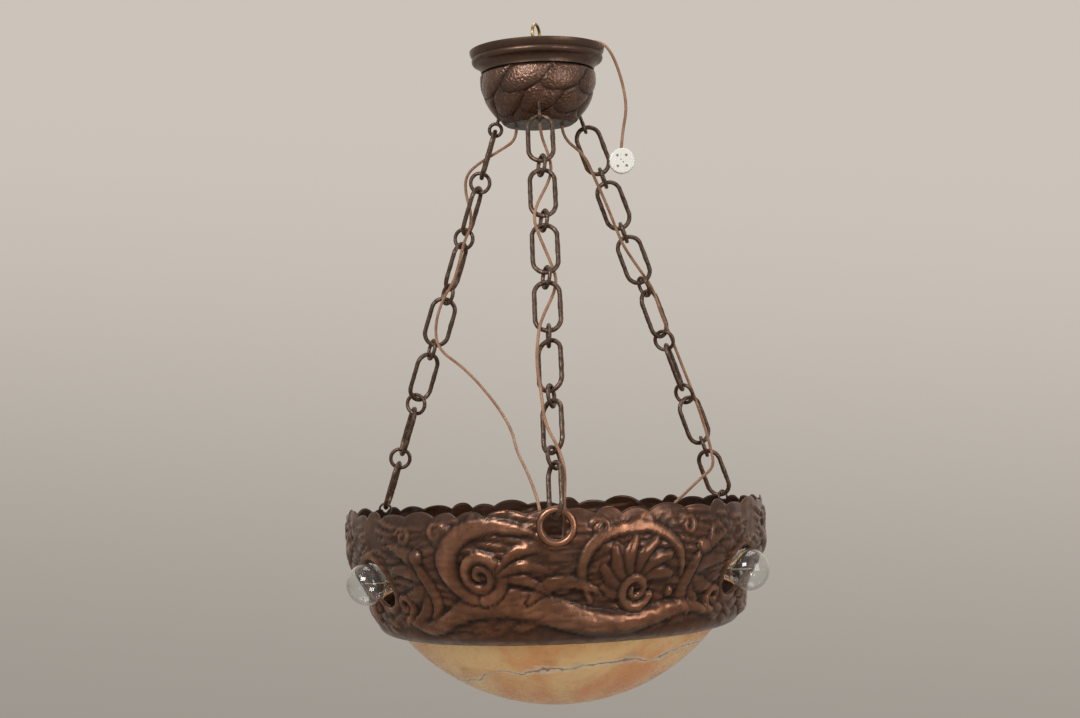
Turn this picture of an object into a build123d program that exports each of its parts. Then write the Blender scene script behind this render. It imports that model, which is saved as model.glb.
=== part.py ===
"""Alabaster bowl pendant: a copper drum on three hand-made chains, hung from a spun canopy.

Sizes are in millimetres. +Z is up, the front (towards the viewer) is -Y and +X is to the right.
The origin is the point of the suspension ring that bears on the ceiling hook.
An azimuth of 0 degrees is the front of the lamp and +90 degrees is its right side.
"""
from build123d import *
from math import asin, cos, pi, radians, sin, sqrt, tan
import os

# ---------------------------------------------------------------- driving dimensions
seat_gap = 0.3  # air between curved faces that bear on each other
running_gap = 0.05  # radial air of a turning fit

# top fitting
hang_ring_wire = 3.6
hang_ring_inner_r = 10.2
hang_ring_turn = 20.0  # the ring's plane, turned from the front-to-back plane
eye_wire = 4.0
eye_inner_r = 5.0
eye_shank_d = 6.0
nut_across = 11.0
nut_height = 5.0

# canopy: a spun rim and an embossed cup
canopy_drop = 28.4  # rim plane below the bearing point
sheet = 1.4  # copper sheet of the canopy
canopy_rim_r = 76.5
canopy_groove_r = 73.0
canopy_groove_depth = 8.0
canopy_bead_r = 3.6
canopy_cove_r = 64.0
canopy_cove_depth = 25.0
cup_top_r = 62.5
cup_belly_r = 63.0
cup_low_r = 50.0
cup_floor_r = 38.0
cup_belly_depth = 41.0
cup_low_depth = 70.0
cup_depth = 85.0
cup_flange_r = 52.0
leaf_height = 1.8  # how far the embossed leaves stand out of the cup
leaf_count = 8
bridge_width = 14.0
bridge_thickness = 3.0
screw_d = 4.0
screw_head_d = 7.5
screw_tail = 3.0
flex_hole_r = 3.2
flex_hole_azimuths = {"front": 0.0, "left": -110.0, "right": 115.0}
flex_hole_place_r = 28.0
# rows of leaves on the cup: depth, distance from the axis, leaf radius, shift in leaves
leaf_rows = ((30.0, 62.0, 19.0, 0.5), (52.0, 59.5, 17.0, 0.0), (71.0, 49.5, 14.0, 0.5))

# chains
hook_wire = 4.0
hook_inner_r = 5.0
hook_r = 58.5  # distance of each hook's eye from the lamp's axis
hook_depth = 84.0  # below the canopy's rim plane
hook_azimuths = {"front": 0.0, "left": -120.0, "right": 120.0}
hook_head_r = 4.0  # peened head inside the cup
hook_head_up = 26.0  # from the eye's centre to the head's centre
hook_turns = {"front": 90.0, "left": 62.0, "right": 35.0}
link_wire = 5.4
link_inner_length = 51.4
side_link_inner_length = 50.1  # the side chains' links are a little shorter
link_width = 32.5
chain_ring_wire = 4.6
chain_ring_inner_r = 8.9
links_per_chain = 7
end_ring_wire = 2.6
end_ring_inner_r = 6.0
end_ring_turn = 75.0
# The turn of each long link about its chain; 0 lies along the drum's rim, 90 across it.
link_turns = {
    "front": [0, 0, 0, 0, 30, 45, 62],
    "left": [150, 168, 176, 240, 205, 138, 155],
    "right": [120, 120, 120, 75, 40, 95, 150],
}
# A small ring's turn from the mean of the two links that it joins.
ring_turns = {"front": 70, "left": 90, "right": 90}

# embossed drum
drum_sheet = 1.6
drum_rim_r = 233.0
drum_waist_r = drum_rim_r - 16.5
drum_foot_r = drum_rim_r - 26.0
drum_swell = 1.5  # of the wall's upper part
drum_height = 138.0
lobe_rise = 5.0  # the tallest lobe of the top edge above the rim plane
lobe_count = 42
bulb_hole_r = 25.0
bulb_depth = 72.0  # bulb axes below the rim plane
bulb_azimuths = {"left": -60.0, "right": 60.0, "back": 180.0}
scroll_mean_r = 17.0  # of the ring that the front chain hangs through
scroll_tube_r = 4.0
scroll_ring_depth = 15.0  # its centre below the rim plane
end_hole_r = 3.6
end_bridge = 3.0  # height of the sheet left over each side chain's hole
end_notch_r = 9.0

# bowl
bowl_sphere_r = drum_foot_r + 18.0
bowl_wall = 8.0
bowl_drop = 219.0  # lowest point below the drum's rim plane
bowl_rim_height = 20.0  # above the drum's lower edge
bowl_rim_round = 2.5

# lampholders and bulbs
holder_r = 13.5
holder_length = 36.0
holder_lip = 2.0
cap_r = 6.9
cap_length = 17.0
cap_grip = 14.0  # how far the cap goes into its lampholder
globe_r = 22.5
globe_centre_r = drum_rim_r  # of the side bulbs, from the lamp's axis
bulb_length = 76.0
glass = 1.0
stem_r = 3.0
stem_height = 16.0
filament_span = 16.0
filament_wire_r = 0.5
hub_r = 24.0
hub_height = 26.0
arm_r = 5.0
support_r = 4.0
support_azimuths = (-30.0, 90.0, 210.0)
foot_r = 9.0
foot_thickness = 2.0
foot_depth = 24.0  # of the supports' feet below the rim plane
support_turn_r = drum_rim_r - 38.0  # where the supports turn up to their feet

# cords
flex_d = 3.4
terminal_r = 14.5
terminal_thickness = 9.0
terminal_middle = Vector(91.0, -8.0, -131.0 - canopy_drop)
terminal_bore_x = 5.0
terminal_bore_r = 1.6
terminal_bore_depth = 8.0
terminal_screw_r = 1.5

os.makedirs("parts", exist_ok=True)


# ---------------------------------------------------------------- places
def on_azimuth(azimuth, radius, height):
    """The point at an azimuth, a radius from the lamp's axis and a height."""
    a = radians(azimuth)
    return Vector(radius * sin(a), -radius * cos(a), height)


def outward(azimuth):
    """The horizontal direction away from the lamp's axis."""
    return on_azimuth(azimuth, 1, 0)


def along_rim(azimuth):
    """The horizontal direction along the rim, to the right when the azimuth is 0."""
    return on_azimuth(azimuth + 90, 1, 0)


canopy_z = -canopy_drop
hook_z = canopy_z - hook_depth


def link_length(name):
    """The inner length of a chain's long links."""
    return link_inner_length if name == "front" else side_link_inner_length


def chain_pitch(name):
    """The step from one long link of a chain to the next."""
    return link_length(name) + 2 * chain_ring_inner_r - 2 * seat_gap


def chain_reach(name):
    """From the hook's centre to what bears in the last long link."""
    return hook_inner_r - 2 * seat_gap + (links_per_chain - 1) * chain_pitch(name) + link_length(name)


front_reach = chain_reach("front")
side_reach = chain_reach("left") + 2 * end_ring_inner_r - seat_gap
drum_wall_r = drum_rim_r - drum_sheet / 2
scroll_top_z = hook_z - sqrt((front_reach - scroll_tube_r) ** 2 - (drum_wall_r - hook_r) ** 2)
side_hang_z = hook_z - sqrt(side_reach**2 - (drum_wall_r - hook_r) ** 2)
rim_z = scroll_top_z - scroll_mean_r + scroll_ring_depth
bulb_z = rim_z - bulb_depth


def chain_way(name):
    """The hook's centre and the direction of the taut chain that hangs from it."""
    azimuth = hook_azimuths[name]
    start = on_azimuth(azimuth, hook_r, hook_z)
    low_z = scroll_top_z if name == "front" else side_hang_z
    return start, (on_azimuth(azimuth, drum_wall_r, low_z) - start).normalized()


def chain_plane(name, along, turn):
    """A plane on the chain: X runs down the chain, Y is turned about it from the rim's way."""
    start, down = chain_way(name)
    side = along_rim(hook_azimuths[name]).rotate(Axis((0, 0, 0), down), turn)
    return Plane(origin=start + down * along, x_dir=down, z_dir=down.cross(side))


def chain_point(name, along, side, out):
    """A point beside the chain: along it, to the side along the rim, and outward."""
    plane = chain_plane(name, along, 0)
    return plane.origin + plane.y_dir * side + plane.z_dir * out


def save(part, label):
    """Name the finished piece and write its file."""
    part.label = label
    export_step(part, f"parts/{label}.step")


# ---------------------------------------------------------------- wire forms
def wire_ring(plane, inner_r, wire):
    """A round ring of round wire, lying in the plane."""
    with BuildPart() as ring:
        with BuildSketch(Plane(plane.origin, plane.x_dir, -plane.y_dir)) as section:
            with Locations((inner_r + wire / 2, 0)):
                Circle(wire / 2)
        revolve(axis=Axis(plane.origin, plane.z_dir))
    return ring.part


def long_link(plane, inner_length):
    """An oval link with straight sides and round ends; its length runs along the plane's X."""
    bend_r = (link_width - link_wire) / 2
    straight = inner_length + link_wire - 2 * bend_r
    with BuildPart() as link:
        with BuildSketch(Plane(plane.origin - plane.x_dir * straight / 2, plane.y_dir, plane.x_dir)):
            with Locations((bend_r, 0), (-bend_r, 0)):
                Circle(link_wire / 2)
        extrude(amount=straight)
        for end in (-1, 1):
            centre = plane.origin + plane.x_dir * (end * straight / 2)
            with BuildSketch(Plane(centre, plane.y_dir, plane.x_dir)):
                with Locations((bend_r, 0)):
                    Circle(link_wire / 2)
            revolve(axis=Axis(centre, plane.z_dir * -end), revolution_arc=180)
    return link.part


def hex_nut(plane, bore_r):
    """A nut standing on the plane, bored for its shank."""
    with BuildPart() as nut:
        with BuildSketch(plane):
            RegularPolygon(nut_across / 2, 6, major_radius=False)
            Circle(bore_r, mode=Mode.SUBTRACT)
        extrude(amount=nut_height)
    return nut.part


# ---------------------------------------------------------------- top fitting
ring_z = -hang_ring_inner_r
eye_z = ring_z - hang_ring_inner_r + seat_gap - eye_inner_r
ring_plane = Plane((0, 0, ring_z), x_dir=(sin(radians(hang_ring_turn)), cos(radians(hang_ring_turn)), 0),
                   z_dir=(cos(radians(hang_ring_turn)), -sin(radians(hang_ring_turn)), 0))
save(wire_ring(ring_plane, hang_ring_inner_r, hang_ring_wire), "suspension_ring")

bridge_top_z = canopy_z - canopy_cove_depth + sheet + bridge_thickness
eye_low_z = eye_z - eye_inner_r - eye_wire
shank_low_z = bridge_top_z - bridge_thickness - nut_height - 5

with BuildPart() as suspension_eye:
    add(wire_ring(Plane((0, 0, eye_z), x_dir=ring_plane.z_dir, z_dir=ring_plane.x_dir), eye_inner_r, eye_wire))
    with BuildSketch(Plane.XY.offset(shank_low_z)):
        Circle(eye_shank_d / 2)
    extrude(amount=eye_low_z + eye_wire / 2 - shank_low_z)
    with BuildSketch(Plane.XY.offset(bridge_top_z)):
        Circle(eye_shank_d / 2 + 2.5)
    extrude(amount=2.5)
save(suspension_eye.part, "suspension_eye")

save(hex_nut(Plane.XY.offset(bridge_top_z - bridge_thickness - nut_height), eye_shank_d / 2 + running_gap), "eye_nut")

# ---------------------------------------------------------------- canopy
cove_z = canopy_z - canopy_cove_depth
screw_r = (cup_flange_r + cup_top_r - sheet) / 2
screw_azimuths = (90.0 - hang_ring_turn, 270.0 - hang_ring_turn)

groove_z = canopy_z - canopy_groove_depth
bead_low_z = groove_z - 2 * canopy_bead_r
cove_hollow = 2.2

with BuildPart() as canopy_rim:
    with BuildSketch(Plane.XZ):
        with BuildLine():
            flange = Line((cup_flange_r, cove_z), (canopy_cove_r, cove_z))
            cove = SagittaArc(flange @ 1, (canopy_groove_r - 1, bead_low_z), cove_hollow)
            bead = SagittaArc(cove @ 1, (canopy_groove_r, groove_z), -canopy_bead_r / 2)
            brim = SagittaArc(bead @ 1, (canopy_rim_r, canopy_z), -0.8)
            sheet_side = Polyline(
                brim @ 1,
                (canopy_rim_r - sheet, canopy_z),
                (canopy_groove_r - 2 * sheet, groove_z),
                (canopy_groove_r - 1 - 2 * sheet, bead_low_z),
            )
            inner_cove = SagittaArc(sheet_side @ 1, (canopy_cove_r - sheet, cove_z + sheet), -cove_hollow)
            Polyline(inner_cove @ 1, (cup_flange_r, cove_z + sheet), flange @ 0)
        make_face()
    revolve(axis=Axis.Z)
    with BuildSketch(Plane.XY.offset(cove_z)):
        for azimuth in screw_azimuths:
            spot = on_azimuth(azimuth, screw_r, 0)
            with Locations((spot.X, spot.Y)):
                Circle(screw_d / 2 + running_gap)
    extrude(amount=sheet, mode=Mode.SUBTRACT)
save(canopy_rim.part, "canopy_rim")


def cup_line(offset):
    """The cup's side from its shoulder to its floor, drawn in by an offset."""
    return (
        (cup_top_r - offset, cove_z - offset),
        (cup_belly_r - offset, canopy_z - cup_belly_depth),
        (cup_low_r - 0.8 * offset, canopy_z - cup_low_depth + 0.6 * offset),
        (cup_floor_r - 0.4 * offset, canopy_z - cup_depth + offset),
    )



with BuildPart() as canopy_cup:
    with BuildSketch(Plane.XZ):
        with BuildLine():
            outer = Spline(cup_line(0), tangents=[(0.3, -1), (-1, -0.55)])
            Polyline(
                outer @ 1,
                (0, canopy_z - cup_depth),
                (0, canopy_z - cup_depth + sheet),
                cup_line(sheet)[-1],
            )
            inner = Spline(cup_line(sheet), tangents=[(0.3, -1), (-1, -0.55)])
            Polyline(
                inner @ 0,
                (cup_flange_r, cove_z - sheet),
                (cup_flange_r, cove_z),
                outer @ 0,
            )
        make_face()
    revolve(axis=Axis.Z)
    # three rows of rounded leaves beaten out of the cup, each row half a leaf round from the last
    for depth, row_r, leaf_r, shift in leaf_rows:
        for i in range(leaf_count):
            azimuth = (i + shift) * 360 / leaf_count
            centre = on_azimuth(azimuth, row_r - leaf_r + leaf_height, canopy_z - depth - leaf_height)
            with Locations(centre):
                Sphere(leaf_r)
    # the leaves stop at the sheet's inner face, the flange and the floor
    with BuildSketch(Plane.XZ):
        with BuildLine():
            hollow = Spline(cup_line(sheet), tangents=[(0.3, -1), (-1, -0.55)])
            Polyline(
                hollow @ 1,
                (0, canopy_z - cup_depth + sheet),
                (0, canopy_z),
                (cup_flange_r, canopy_z),
                (cup_flange_r, cove_z - sheet),
                hollow @ 0,
            )
        make_face()
    revolve(axis=Axis.Z, mode=Mode.SUBTRACT)
    with BuildSketch(Plane.XY.offset(cove_z)):
        Circle(canopy_rim_r)
    extrude(amount=canopy_cove_depth, mode=Mode.SUBTRACT)
    with BuildSketch(Plane.XY.offset(canopy_z - cup_depth)):
        Circle(canopy_rim_r)
    extrude(amount=-canopy_cove_depth, mode=Mode.SUBTRACT)
    # holes for the bridge screws, the cords and the three hooks
    with BuildSketch(Plane.XY.offset(cove_z)):
        for azimuth in screw_azimuths:
            spot = on_azimuth(azimuth, screw_r, 0)
            with Locations((spot.X, spot.Y)):
                Circle(screw_d / 2 + running_gap)
    extrude(amount=-sheet, mode=Mode.SUBTRACT)
    with BuildSketch(Plane.XY.offset(canopy_z - cup_depth)):
        for azimuth in flex_hole_azimuths.values():
            spot = on_azimuth(azimuth, flex_hole_place_r, 0)
            with Locations((spot.X, spot.Y)):
                Circle(flex_hole_r)
    extrude(amount=sheet, mode=Mode.SUBTRACT)
    for name in hook_azimuths:
        start, down = chain_way(name)
        with BuildSketch(Plane(start - down * hook_head_up, z_dir=down)):
            Circle(hook_wire / 2 + seat_gap)
        extrude(amount=hook_head_up - hook_inner_r - hook_wire, mode=Mode.SUBTRACT)
save(canopy_cup.part, "canopy_cup")

# ---------------------------------------------------------------- bridge across the canopy
with BuildPart() as canopy_bridge:
    with BuildSketch(Plane.XY.offset(bridge_top_z).rotated((0, 0, -hang_ring_turn))):
        SlotOverall(2 * (canopy_cove_r - 2 * sheet), bridge_width)
        Circle(eye_shank_d / 2 + running_gap, mode=Mode.SUBTRACT)
        with Locations((screw_r, 0), (-screw_r, 0)):
            Circle(screw_d / 2 + running_gap, mode=Mode.SUBTRACT)
    extrude(amount=-bridge_thickness)
save(canopy_bridge.part, "canopy_bridge")

with BuildPart() as bridge_screws:
    for azimuth in screw_azimuths:
        spot = on_azimuth(azimuth, screw_r, 0)
        with BuildSketch(Plane.XY.offset(bridge_top_z)):
            with Locations((spot.X, spot.Y)):
                Circle(screw_head_d / 2)
        extrude(amount=screw_d / 2)
        with BuildSketch(Plane.XY.offset(bridge_top_z)):
            with Locations((spot.X, spot.Y)):
                Circle(screw_d / 2)
        extrude(amount=-bridge_thickness - 2 * sheet - screw_tail)
        with BuildSketch(Plane.XY.offset(cove_z - sheet)):
            with Locations((spot.X, spot.Y)):
                RegularPolygon(screw_head_d / 2, 6, major_radius=False)
        extrude(amount=-screw_tail)
save(bridge_screws.part, "bridge_screws")

# ---------------------------------------------------------------- chains
for name in hook_azimuths:
    start, down = chain_way(name)
    with BuildPart() as hook:
        add(wire_ring(chain_plane(name, 0, hook_turns[name]), hook_inner_r, hook_wire))
        with BuildSketch(Plane(start - down * (hook_inner_r + hook_wire / 2), z_dir=-down)):
            Circle(hook_wire / 2)
        extrude(amount=hook_head_up - hook_inner_r - hook_wire / 2)
        with Locations(start - down * hook_head_up):
            Sphere(hook_head_r)
    save(hook.part, f"{name}_hook")

    turns = link_turns[name]
    length, pitch = link_length(name), chain_pitch(name)
    first_link = hook_inner_r - seat_gap + length / 2
    first_ring = first_link + length / 2 - seat_gap + chain_ring_inner_r
    for i, turn in enumerate(turns):
        save(long_link(chain_plane(name, first_link + i * pitch, turn), length), f"{name}_link_{i + 1}")

    with BuildPart() as rings:
        for i in range(links_per_chain - 1):
            ring_turn = (turns[i] + turns[i + 1]) / 2 + ring_turns[name]
            place = chain_plane(name, first_ring + i * pitch, ring_turn)
            add(wire_ring(place, chain_ring_inner_r, chain_ring_wire))
    save(rings.part, f"{name}_rings")

    if name != "front":
        along = side_reach - end_ring_inner_r
        save(wire_ring(chain_plane(name, along, end_ring_turn), end_ring_inner_r, end_ring_wire), f"{name}_end_ring")

# ---------------------------------------------------------------- embossed drum
foot_z = rim_z - drum_height
bowl_centre_z = rim_z - bowl_drop + bowl_sphere_r
edge_down = bowl_centre_z - foot_z - drum_sheet
drum_edge_r = sqrt((bowl_sphere_r + seat_gap) ** 2 - edge_down**2)
drum_line = (
    (drum_rim_r, rim_z + lobe_rise),
    (drum_rim_r + drum_swell, rim_z - 22 / 138 * drum_height),
    (drum_rim_r - drum_swell, rim_z - 50 / 138 * drum_height),
    (drum_waist_r, rim_z - 80 / 138 * drum_height),
    (drum_foot_r + 1, rim_z - 100 / 138 * drum_height),
    (drum_foot_r - 1, rim_z - 116 / 138 * drum_height),
    (drum_foot_r - 9, rim_z - 129 / 138 * drum_height),
    (drum_edge_r, foot_z),
)


def lobe_notch(i):
    """Where a notch of the top edge lies, as an azimuth, and its depth below the rim plane."""
    return (i + 0.18 * sin(1.7 * i)) * 360 / lobe_count, 1.5 + 2.5 * abs(sin(2.3 * i))


def lobe_top(i):
    """Where the lobe after notch i is highest, as an azimuth, and its height."""
    return (lobe_notch(i)[0] + lobe_notch(i + 1)[0]) / 2, lobe_rise * (0.55 + 0.45 * sin(2.9 * i))


with BuildPart() as drum:
    with BuildSketch(Plane.XZ):
        with BuildLine():
            outer = Spline(drum_line)
            edge = Line(outer @ 1, (drum_edge_r, foot_z + drum_sheet))
            inner = Spline([(r - drum_sheet, z) for r, z in drum_line[:-1]] + [edge @ 1])
            Line(inner @ 0, outer @ 0)
        make_face()
    revolve(axis=Axis.Z)
    # the scroll ring that the front chain's last link goes through
    ring_middle = on_azimuth(0, drum_wall_r, rim_z - scroll_ring_depth)
    add(wire_ring(Plane(ring_middle, along_rim(0), outward(0)), scroll_mean_r - scroll_tube_r, 2 * scroll_tube_r))
    with BuildSketch(Plane(ring_middle, along_rim(0), outward(0))):
        Circle(scroll_mean_r - 0.85 * scroll_tube_r)
    extrude(amount=drum_sheet * 4, both=True, mode=Mode.SUBTRACT)
    # the beaten top edge: a notch between each two lobes
    for i in range(lobe_count):
        azimuth, depth = lobe_notch(i)
        (left_azimuth, left_height), (right_azimuth, right_height) = lobe_top(i - 1), lobe_top(i)
        left_x = drum_rim_r * sin(radians(left_azimuth - azimuth))
        right_x = drum_rim_r * sin(radians(right_azimuth - azimuth))
        if i == 0:
            left_x = -drum_rim_r * sin(radians(180 / lobe_count))
            left_height = lobe_top(lobe_count - 1)[1]
        with BuildSketch(Plane(on_azimuth(azimuth, 0, rim_z), along_rim(azimuth), -outward(azimuth))):
            with BuildLine():
                low = SagittaArc((left_x, -left_height), (0, depth), -1.6)
                high = SagittaArc(low @ 1, (right_x, -right_height), -1.6)
                Polyline(high @ 1, (right_x, -2 * lobe_rise), (left_x, -2 * lobe_rise), low @ 0)
            make_face()
        extrude(amount=-2 * drum_rim_r, mode=Mode.SUBTRACT)
    # the side chains' holes, each under a dip in the top edge
    for name in ("left", "right"):
        azimuth = hook_azimuths[name]
        with BuildSketch(Plane(on_azimuth(azimuth, drum_rim_r / 2, side_hang_z), along_rim(azimuth), outward(azimuth))):
            with Locations((0, -end_hole_r)):
                Circle(end_hole_r)
            with Locations((0, end_bridge + end_notch_r)):
                Circle(end_notch_r)
            with Locations((0, end_bridge + 2 * end_notch_r)):
                Rectangle(2 * end_notch_r, 2 * end_notch_r)
        extrude(amount=drum_rim_r, mode=Mode.SUBTRACT)
    for azimuth in bulb_azimuths.values():
        with BuildSketch(Plane(on_azimuth(azimuth, drum_rim_r / 2, bulb_z), along_rim(azimuth), outward(azimuth))):
            Circle(bulb_hole_r)
        extrude(amount=drum_rim_r, mode=Mode.SUBTRACT)
save(drum.part, "drum")

# ---------------------------------------------------------------- alabaster bowl
bowl_rim_z = foot_z + bowl_rim_height
bowl_up = bowl_centre_z - bowl_rim_z
bowl_outer_r = sqrt(bowl_sphere_r**2 - bowl_up**2)
bowl_inner_r = sqrt((bowl_sphere_r - bowl_wall) ** 2 - bowl_up**2)


def half_way(radius, rim_r):
    """The point of the bowl's arc half way between its lowest point and its rim."""
    angle = asin(rim_r / radius) / 2
    return radius * sin(angle), bowl_centre_z - radius * cos(angle)


with BuildPart() as bowl:
    with BuildSketch(Plane.XZ):
        with BuildLine():
            outer = ThreePointArc(
                (0, bowl_centre_z - bowl_sphere_r),
                half_way(bowl_sphere_r, bowl_outer_r),
                (bowl_outer_r, bowl_rim_z),
            )
            rim = Line(outer @ 1, (bowl_inner_r, bowl_rim_z))
            inner = ThreePointArc(
                rim @ 1,
                half_way(bowl_sphere_r - bowl_wall, bowl_inner_r),
                (0, bowl_centre_z - bowl_sphere_r + bowl_wall),
            )
            Line(inner @ 1, outer @ 0)
        make_face()
    revolve(axis=Axis.Z)
    fillet(bowl.edges().group_by(Axis.Z)[-1], radius=bowl_rim_round)
save(bowl.part, "alabaster_bowl")

# ---------------------------------------------------------------- bulbs and lampholders
neck_down = globe_r * 0.75  # where the neck leaves the globe, below its centre
neck_r = sqrt(globe_r**2 - neck_down**2)
inner_share = 1 - glass / globe_r
cap_top = bulb_length - globe_r - cap_length  # below the globe's centre
cap_end = cap_top + cap_length
holder_mouth = cap_end - cap_grip
holder_end = holder_mouth + holder_length
hub_low_z = bulb_z - hub_height / 2


def bulb_plane(name):
    """The globe's centre, with Y along the bulb's axis, away from its lampholder."""
    if name == "centre":
        return Plane((0, 0, hub_low_z - holder_end), x_dir=(1, 0, 0), z_dir=(0, 1, 0))
    azimuth = bulb_azimuths[name]
    origin = on_azimuth(azimuth, globe_centre_r, bulb_z)
    return Plane(origin, x_dir=along_rim(azimuth), z_dir=along_rim(azimuth).cross(outward(azimuth)))


def bulb_glass(plane):
    """A clear globe with its neck."""
    with BuildPart() as piece:
        with BuildSketch(plane):
            with BuildLine():
                outer = ThreePointArc((0, globe_r), (globe_r, 0), (neck_r, -neck_down))
                neck = Line(outer @ 1, (cap_r - 0.3, -cap_top))
                end = Line(neck @ 1, (cap_r - 0.3 - glass, -cap_top))
                inner_neck = Line(end @ 1, (inner_share * neck_r, -inner_share * neck_down))
                inner = ThreePointArc(inner_neck @ 1, (globe_r - glass, 0), (0, globe_r - glass))
                Line(inner @ 1, outer @ 0)
            make_face()
        revolve(axis=Axis(plane.origin, plane.y_dir))
    return piece.part


def bulb_cap(plane):
    """The screw cap with its contact, and the glass stem with two filament wires on it."""
    with BuildPart() as piece:
        with BuildSketch(plane):
            with BuildLine():
                Polyline(
                    (0, -cap_top + stem_height),
                    (stem_r, -cap_top + stem_height),
                    (stem_r, -cap_top),
                    (cap_r, -cap_top),
                    (cap_r, -cap_end + 4),
                    (cap_r - 3.5, -cap_end + 1),
                    (2, -cap_end),
                    (0, -cap_end),
                    close=True,
                )
            make_face()
        revolve(axis=Axis(plane.origin, plane.y_dir))
        for side in (-1, 1):
            foot = plane.origin - plane.y_dir * (cap_top - stem_height + 1) + plane.x_dir * (side * stem_r / 2)
            tip = plane.origin + plane.x_dir * (side * filament_span / 2)
            with BuildSketch(Plane(foot, z_dir=tip - foot)):
                Circle(filament_wire_r)
            extrude(amount=(tip - foot).length)
    return piece.part


def lampholder(plane):
    """A turned holder, open at its mouth."""
    with BuildPart() as piece:
        with BuildSketch(plane):
            with BuildLine():
                Polyline(
                    (cap_r + seat_gap, -holder_mouth),
                    (holder_r + holder_lip, -holder_mouth),
                    (holder_r + holder_lip, -holder_mouth - holder_lip),
                    (holder_r, -holder_mouth - holder_lip),
                    (holder_r, -holder_end + holder_r / 2),
                    (holder_r - 3, -holder_end),
                    (0, -holder_end),
                    (0, -cap_end - seat_gap),
                    (cap_r + seat_gap, -cap_end - seat_gap),
                    close=True,
                )
            make_face()
        revolve(axis=Axis(plane.origin, plane.y_dir))
    return piece.part


for name in (*bulb_azimuths, "centre"):
    save(bulb_glass(bulb_plane(name)), f"{name}_bulb_glass")
    save(bulb_cap(bulb_plane(name)), f"{name}_bulb_cap")
    save(lampholder(bulb_plane(name)), f"{name}_lampholder")

# ---------------------------------------------------------------- hub, lamp arms and supports
with BuildPart() as hub:
    with BuildSketch(Plane.XY.offset(hub_low_z)):
        Circle(hub_r)
    extrude(amount=hub_height)
    fillet(hub.edges().filter_by(GeomType.CIRCLE).group_by(Axis.Z)[-1], radius=4)
save(hub.part, "lamp_hub")

with BuildPart() as lamp_arms:
    for azimuth in bulb_azimuths.values():
        with BuildSketch(Plane(on_azimuth(azimuth, hub_r, bulb_z), along_rim(azimuth), outward(azimuth))):
            Circle(arm_r)
        extrude(amount=globe_centre_r - holder_end - hub_r)
save(lamp_arms.part, "lamp_arms")

foot_wall_r = drum_rim_r + drum_swell - drum_sheet - seat_gap
with BuildPart() as supports:
    for azimuth in support_azimuths:
        with BuildLine() as way:
            FilletPolyline(
                on_azimuth(azimuth, hub_r, bulb_z),
                on_azimuth(azimuth, support_turn_r, bulb_z),
                on_azimuth(azimuth, foot_wall_r - foot_r, rim_z - foot_depth),
                on_azimuth(azimuth, foot_wall_r - foot_thickness, rim_z - foot_depth),
                radius=2 * support_r,
            )
        with BuildSketch(Plane(way.line @ 0, z_dir=way.line % 0)):
            Circle(support_r)
        sweep(path=way.line)
        with BuildSketch(Plane(way.line @ 1, z_dir=outward(azimuth))):
            Circle(foot_r)
        extrude(amount=foot_thickness)
save(supports.part, "hub_supports")

# ---------------------------------------------------------------- terminal block
block_plane = Plane(terminal_middle, x_dir=(1, 0, 0), z_dir=(0, -1, 0))
with BuildPart() as terminal_block:
    with BuildSketch(block_plane):
        Circle(terminal_r)
    extrude(amount=terminal_thickness / 2, both=True)
    chamfer(terminal_block.edges().filter_by(GeomType.CIRCLE), 1.0)
    with BuildSketch(Plane.XY.offset(terminal_middle.Z - terminal_r)):
        with Locations((terminal_middle.X - terminal_bore_x, terminal_middle.Y),
                       (terminal_middle.X + terminal_bore_x, terminal_middle.Y)):
            Circle(terminal_bore_r)
    extrude(amount=terminal_bore_depth + 2, mode=Mode.SUBTRACT)
    with BuildSketch(block_plane.offset(terminal_thickness / 2)):
        with Locations((-terminal_bore_x, -6), (terminal_bore_x, -6), (-terminal_bore_x, 6), (terminal_bore_x, 6)):
            Circle(terminal_screw_r + running_gap)
    extrude(amount=-terminal_thickness / 2 + terminal_bore_r, mode=Mode.SUBTRACT)
save(terminal_block.part, "terminal_block")

with BuildPart() as terminal_screws:
    with BuildSketch(block_plane.offset(terminal_thickness / 2 - 1)):
        with Locations((-terminal_bore_x, -6), (terminal_bore_x, -6), (-terminal_bore_x, 6), (terminal_bore_x, 6)):
            Circle(terminal_screw_r)
    extrude(amount=-terminal_thickness / 2 + 1 + terminal_bore_r)
save(terminal_screws.part, "terminal_screws")


# ---------------------------------------------------------------- cords
def cord(label, points):
    """A cord along points chosen by hand: straight runs joined by arcs as large as the runs allow."""
    runs = [(b - a).length for a, b in zip(points, points[1:])]
    radii = []
    for i in range(1, len(points) - 1):
        half_turn = radians((points[i] - points[i - 1]).get_angle(points[i + 1] - points[i])) / 2
        radii.append(0.45 * min(runs[i - 1], runs[i]) / tan(half_turn))
    with BuildPart() as piece:
        with BuildLine() as way:
            FilletPolyline(*points, radius=radii)
        with BuildSketch(Plane(way.line @ 0, z_dir=way.line % 0)):
            Circle(flex_d / 2)
        sweep(path=way.line)
    expected = pi * (flex_d / 2) ** 2 * way.wire().length
    print(label, "length", round(way.wire().length), "volume share", round(piece.part.volume / expected, 4),
          "radii", [round(r) for r in radii])
    save(piece.part, label)


floor_z = canopy_z - cup_depth
gland_z = bulb_z + hub_height / 2


def floor_exit(name, depth):
    """A point under the cup's floor where a cord leaves it."""
    return on_azimuth(flex_hole_azimuths[name], flex_hole_place_r, floor_z - depth)


def by_chain(name, *places):
    """Points beside a chain: along it, to the side and outward."""
    return [chain_point(name, *place) for place in places]


def by_rim(*places):
    """Points given across, towards the back and above the drum's rim plane."""
    return [Vector(x, y, rim_z + up) for x, y, up in places]


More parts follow.
